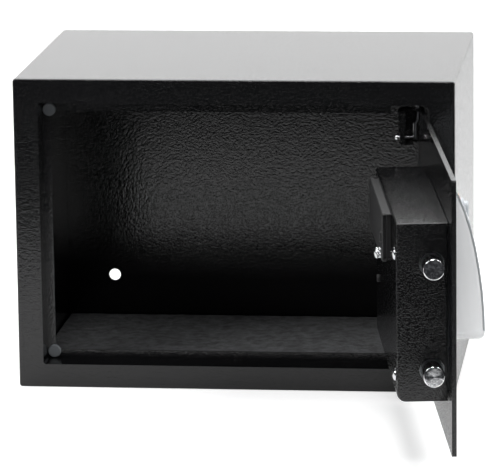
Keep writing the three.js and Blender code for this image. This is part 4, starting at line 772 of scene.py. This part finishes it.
def outline_mark(outlines):
    """A thin film within one outline of points, or between an outer and an inner one."""
    bm = bmesh.new()
    levels = [[[bm.verts.new((x * MM, y * MM, height)) for x, y in outline]
               for outline in outlines] for height in (0, 2 * INK_FILM)]
    for loops in levels:
        if len(loops) == 1:
            bm.faces.new(loops[0])
        else:
            band(bm, *loops)
    for low, high in zip(*levels):
        band(bm, low, high)
    return bm


# %% Figures as meshes
def circle(radius, count=32):
    angles = [2 * math.pi * i / count for i in range(count)]
    return [(radius * math.cos(a), radius * math.sin(a)) for a in angles]


def figure(text):
    if text == "clear":
        return outline_mark([cross_outline(SIGN_HALF, SIGN_ARM)])
    if text == "enter":
        return outline_mark([circle(SIGN_OUTER), circle(SIGN_INNER)])
    letters = bpy.data.curves.new("figure", "FONT")
    letters.body, letters.size, letters.extrude = text, FIGURE_HEIGHT, INK_FILM
    letters.align_x, letters.align_y, letters.offset = "CENTER", "CENTER", BOLDER
    holder = bpy.data.objects.new("figure", letters)
    bpy.context.scene.collection.objects.link(holder)
    bm = bmesh.new()
    flat = holder.evaluated_get(bpy.context.evaluated_depsgraph_get()).to_mesh()
    bm.from_mesh(flat)
    bmesh.ops.remove_doubles(bm, verts=bm.verts, dist=WELD)
    bmesh.ops.translate(bm, vec=(0, 0, INK_FILM), verts=bm.verts)
    bpy.data.objects.remove(holder)
    return bm


# %% Lay each figure on its key
for name in KEY_NAMES:
    outwards = -press_of[body_of[name]]
    face = along(name, outwards)[1]
    rise = outwards.cross(ACROSS).normalized()
    place = Matrix((ACROSS, rise, outwards)).transposed().to_4x4()
    place.translation = face - outwards * INK_FILM
    sign = name.removeprefix("key_")
    bm = figure(sign)
    if sign == "clear":
        bmesh.ops.rotate(bm, matrix=Matrix.Rotation(math.radians(45), 3, "Z"), verts=bm.verts)
    new_piece(f"{name}_figure", bm, INK, body_of[name], place=place)
print("ten figures, a cross and a ring")

# %% [markdown]
# ## Three indicator lamps
#
# The CAD has one bar for the lamps behind the panel, and three small turned domes stand for it
# here, each in its own tint: red for a wrong code, amber for a weak battery, green for open. The
# photograph doesn't show that side of the door, so they are a guess.

# %% Lamps on the front
lens_low, lens_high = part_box("lamp_lens")
lens_middle = (lens_low + lens_high) / 2
lens_normal = -press_of["key_1_cap"]
LAMP_RADIUS, LAMP_PITCH, LAMP_RIM, LAMP_DOME = 2.0, 12.0, 1.1, 0.5
lens_front = max(v.co.dot(lens_normal) for v in nodes["lamp_lens"].data.vertices)
to_base = lens_front - lens_middle.dot(lens_normal) - (LAMP_RIM + LAMP_DOME) * MM
for pitches, (tint, look) in zip((-1, 0, 1), lamp_acrylic.items()):
    base = lens_middle + ACROSS * pitches * LAMP_PITCH * MM + lens_normal * to_base
    profile = [(0, 0), (LAMP_RADIUS, 0), (LAMP_RADIUS, LAMP_RIM)]
    profile += [(r, LAMP_RIM + z) for r, z in dome(LAMP_RADIUS, LAMP_DOME)[1:]]
    new_piece(f"lamp_{tint}", turned(profile), look, "door", ["lamp_lens"],
              standing(base, lens_normal))
print("three lamps")

# %% [markdown]
# ## The turning knob
#
# A knob for fingers has a fluted rim and a bar to push against. The rim's radius ripples round the
# axis, 36 flutes in all, and the ripple fades out towards the face and the base. The bar across the
# face has round ends and a rounded top. A bevel on a block could give that, but a loft of ovals,
# which shrink towards the top, keeps the mesh even.

# %% Knob
OUT = INWARD * -1
knob_base, knob_tip = along("knob", OUT)
KNOB_RADIUS, BAR_HEIGHT = 19.0, 3.0
FLUTES, FLUTE_DEPTH, SMOOTH_RADIUS = 36, 0.7, 17.0
FACE_MARGIN, FACE_FADE = 1.5, 2.0   # the flutes end so far below the face, and fade before that
BASE_FADE = 1.5                     # how far they fade towards the base
knob_height = (knob_tip - knob_base).length / MM
face_height = knob_height - BAR_HEIGHT


def fluted(angle, radius, height):
    if radius <= SMOOTH_RADIUS:
        return 0
    fade = min(1, max(0, (face_height - FACE_MARGIN - height) / FACE_FADE))
    fade *= min(1, height / BASE_FADE)
    return -FLUTE_DEPTH * fade * (0.5 + 0.5 * math.cos(FLUTES * angle)) ** 2


profile = [(0, 0), (KNOB_RADIUS - 0.6, 0), (KNOB_RADIUS, 0.6), (KNOB_RADIUS, 3),
           (KNOB_RADIUS, face_height - 4), (KNOB_RADIUS - 0.3, face_height - 2.4),
           (KNOB_RADIUS - 0.8, face_height - 1.2), (KNOB_RADIUS - 1.8, face_height - 0.4),
           (15.6, face_height), (12.5, face_height), (11.5, face_height - 0.5),
           (6, face_height - 0.6), (0, face_height - 0.6)]
new_piece("knob_fluted", turned(profile, 288, fluted), satin_abs, "turning_knob",
          ["knob"], standing(knob_base, OUT), sharp=50)
print(f"knob {knob_height:.1f} mm high with {FLUTES} flutes")


# %% Bar across the knob
def oval(length, width, height, count=12):
    """Points of a long hole's outline at a height, in millimetres."""
    r, straight = width / 2, (length - width) / 2
    arc = [math.pi * i / count for i in range(count + 1)]
    return [(r * math.cos(a), straight + r * math.sin(a), height) for a in arc] + \
           [(-r * math.cos(a), -straight - r * math.sin(a), height) for a in arc]


def lofted(loops):
    bm = bmesh.new()
    rows = [[bm.verts.new([c * MM for c in point]) for point in loop] for loop in loops]
    for low, high in zip(rows, rows[1:]):
        band(bm, low, high)
    bm.faces.new(rows[0][::-1])
    bm.faces.new(rows[-1])
    return bm


BAR_LENGTH, BAR_WIDTH, BAR_ROUND, BAR_SUNK = 31.6, 8.0, 1.2, 1.5
bar = [oval(BAR_LENGTH, BAR_WIDTH, face_height - BAR_SUNK),
       oval(BAR_LENGTH, BAR_WIDTH, knob_height - BAR_ROUND)]
for angle in quarter_turn(4):
    trim = 2 * BAR_ROUND * (1 - math.cos(angle))
    bar.append(oval(BAR_LENGTH - trim, BAR_WIDTH - trim,
                    knob_height - BAR_ROUND + BAR_ROUND * math.sin(angle)))
bar_place = Matrix((INWARD.cross(UP) * -1, UP, OUT)).transposed().to_4x4()
bar_place.translation = knob_base
new_piece("knob_bar", lofted(bar), satin_abs, "turning_knob",
          place=bar_place)
print(f"bar {BAR_LENGTH} mm long")

# %% [markdown]
# ## Key lock, cells and contacts
#
# Behind the swinging cover sits the emergency key lock, with a brass body. The four cells are steel
# cans in a printed sleeve: a softened copy gets a second finish on the faces at its two ends. They
# lie in two rows, with a coil spring at one end of each row and a button at the other. The spring's
# wire follows a helix that narrows towards the cell. It could be a curve with a round section, but
# the loft that made the knob's bar gives its mesh directly.

# %% Key lock and cells
for name in ("key_lock_body", "key_lock_plug"):
    point = along(name, OUT)[0]
    softened(name, 0.3, standing(point, OUT))
END_CAP = 2.2 * MM      # bare metal at each end of a cell
for name in [n for n in nodes if n.startswith("battery_") and n[-1].isdigit()]:
    cell = softened(name, 0.5, standing(along(name, ACROSS)[0], ACROSS))
    cell.data.materials.append(bright_zinc)
    length = max(v.co.z for v in cell.data.vertices)
    for face in cell.data.polygons:
        if abs(face.center.z - length / 2) > length / 2 - END_CAP:
            face.material_index = 1
print("key lock and four cells")

# %% Contacts
SPRING_WIRE, SPRING_COILS, SPRING_LENGTH = 0.5, 4, 3.6
SPRING_FOOT, SPRING_TAPER = 4.2, 2.0    # its radius at the foot, and what that loses by the tip
SPRING_SEAT = 0.3                       # how high the foot's wire lies


def coil_spring(name, start, direction, body):
    bm = bmesh.new()
    steps, around = 24 * SPRING_COILS, 8
    loops = []
    for step in range(steps + 1):
        share = step / steps
        angle = 2 * math.pi * SPRING_COILS * share
        radius = SPRING_FOOT - SPRING_TAPER * share
        middle = Vector((radius * math.cos(angle), radius * math.sin(angle),
                         SPRING_SEAT + SPRING_LENGTH * share))
        outward = Vector((math.cos(angle), math.sin(angle), 0))
        loops.append([middle + SPRING_WIRE / 2 * (outward * math.cos(t) + UP * math.sin(t))
                      for t in (2 * math.pi * k / around for k in range(around))])
    return new_piece(name, lofted(loops), bright_zinc, body,
                     place=standing(start, direction))


CONTACT_ROOM = 3.8 * MM   # from the last cell in a row to the box's end wall
for row, flat_cell, cap_cell, way in (("lower", "battery_1", "battery_2", ACROSS),
                                      ("upper", "battery_4", "battery_3", ACROSS * -1)):
    flat_end, cap_end = along(flat_cell, way)[0], along(cap_cell, way)[1]
    coil_spring(f"contact_spring_{row}", flat_end - way * CONTACT_ROOM, way, "door")
    button = [(0, 0), (5.2, 0), (5.2, 0.4), (2.6, 0.5), (2.1, 0.9), (1.9, 3.4), (1.6, 3.6),
              (0, 3.6)]
    new_piece(f"contact_button_{row}", turned(button), bright_zinc, "door",
              place=standing(cap_end + way * CONTACT_ROOM, way * -1))
print("two contact springs and two buttons")

# %% [markdown]
# ## The end

# %% The last call
print("all pieces made")
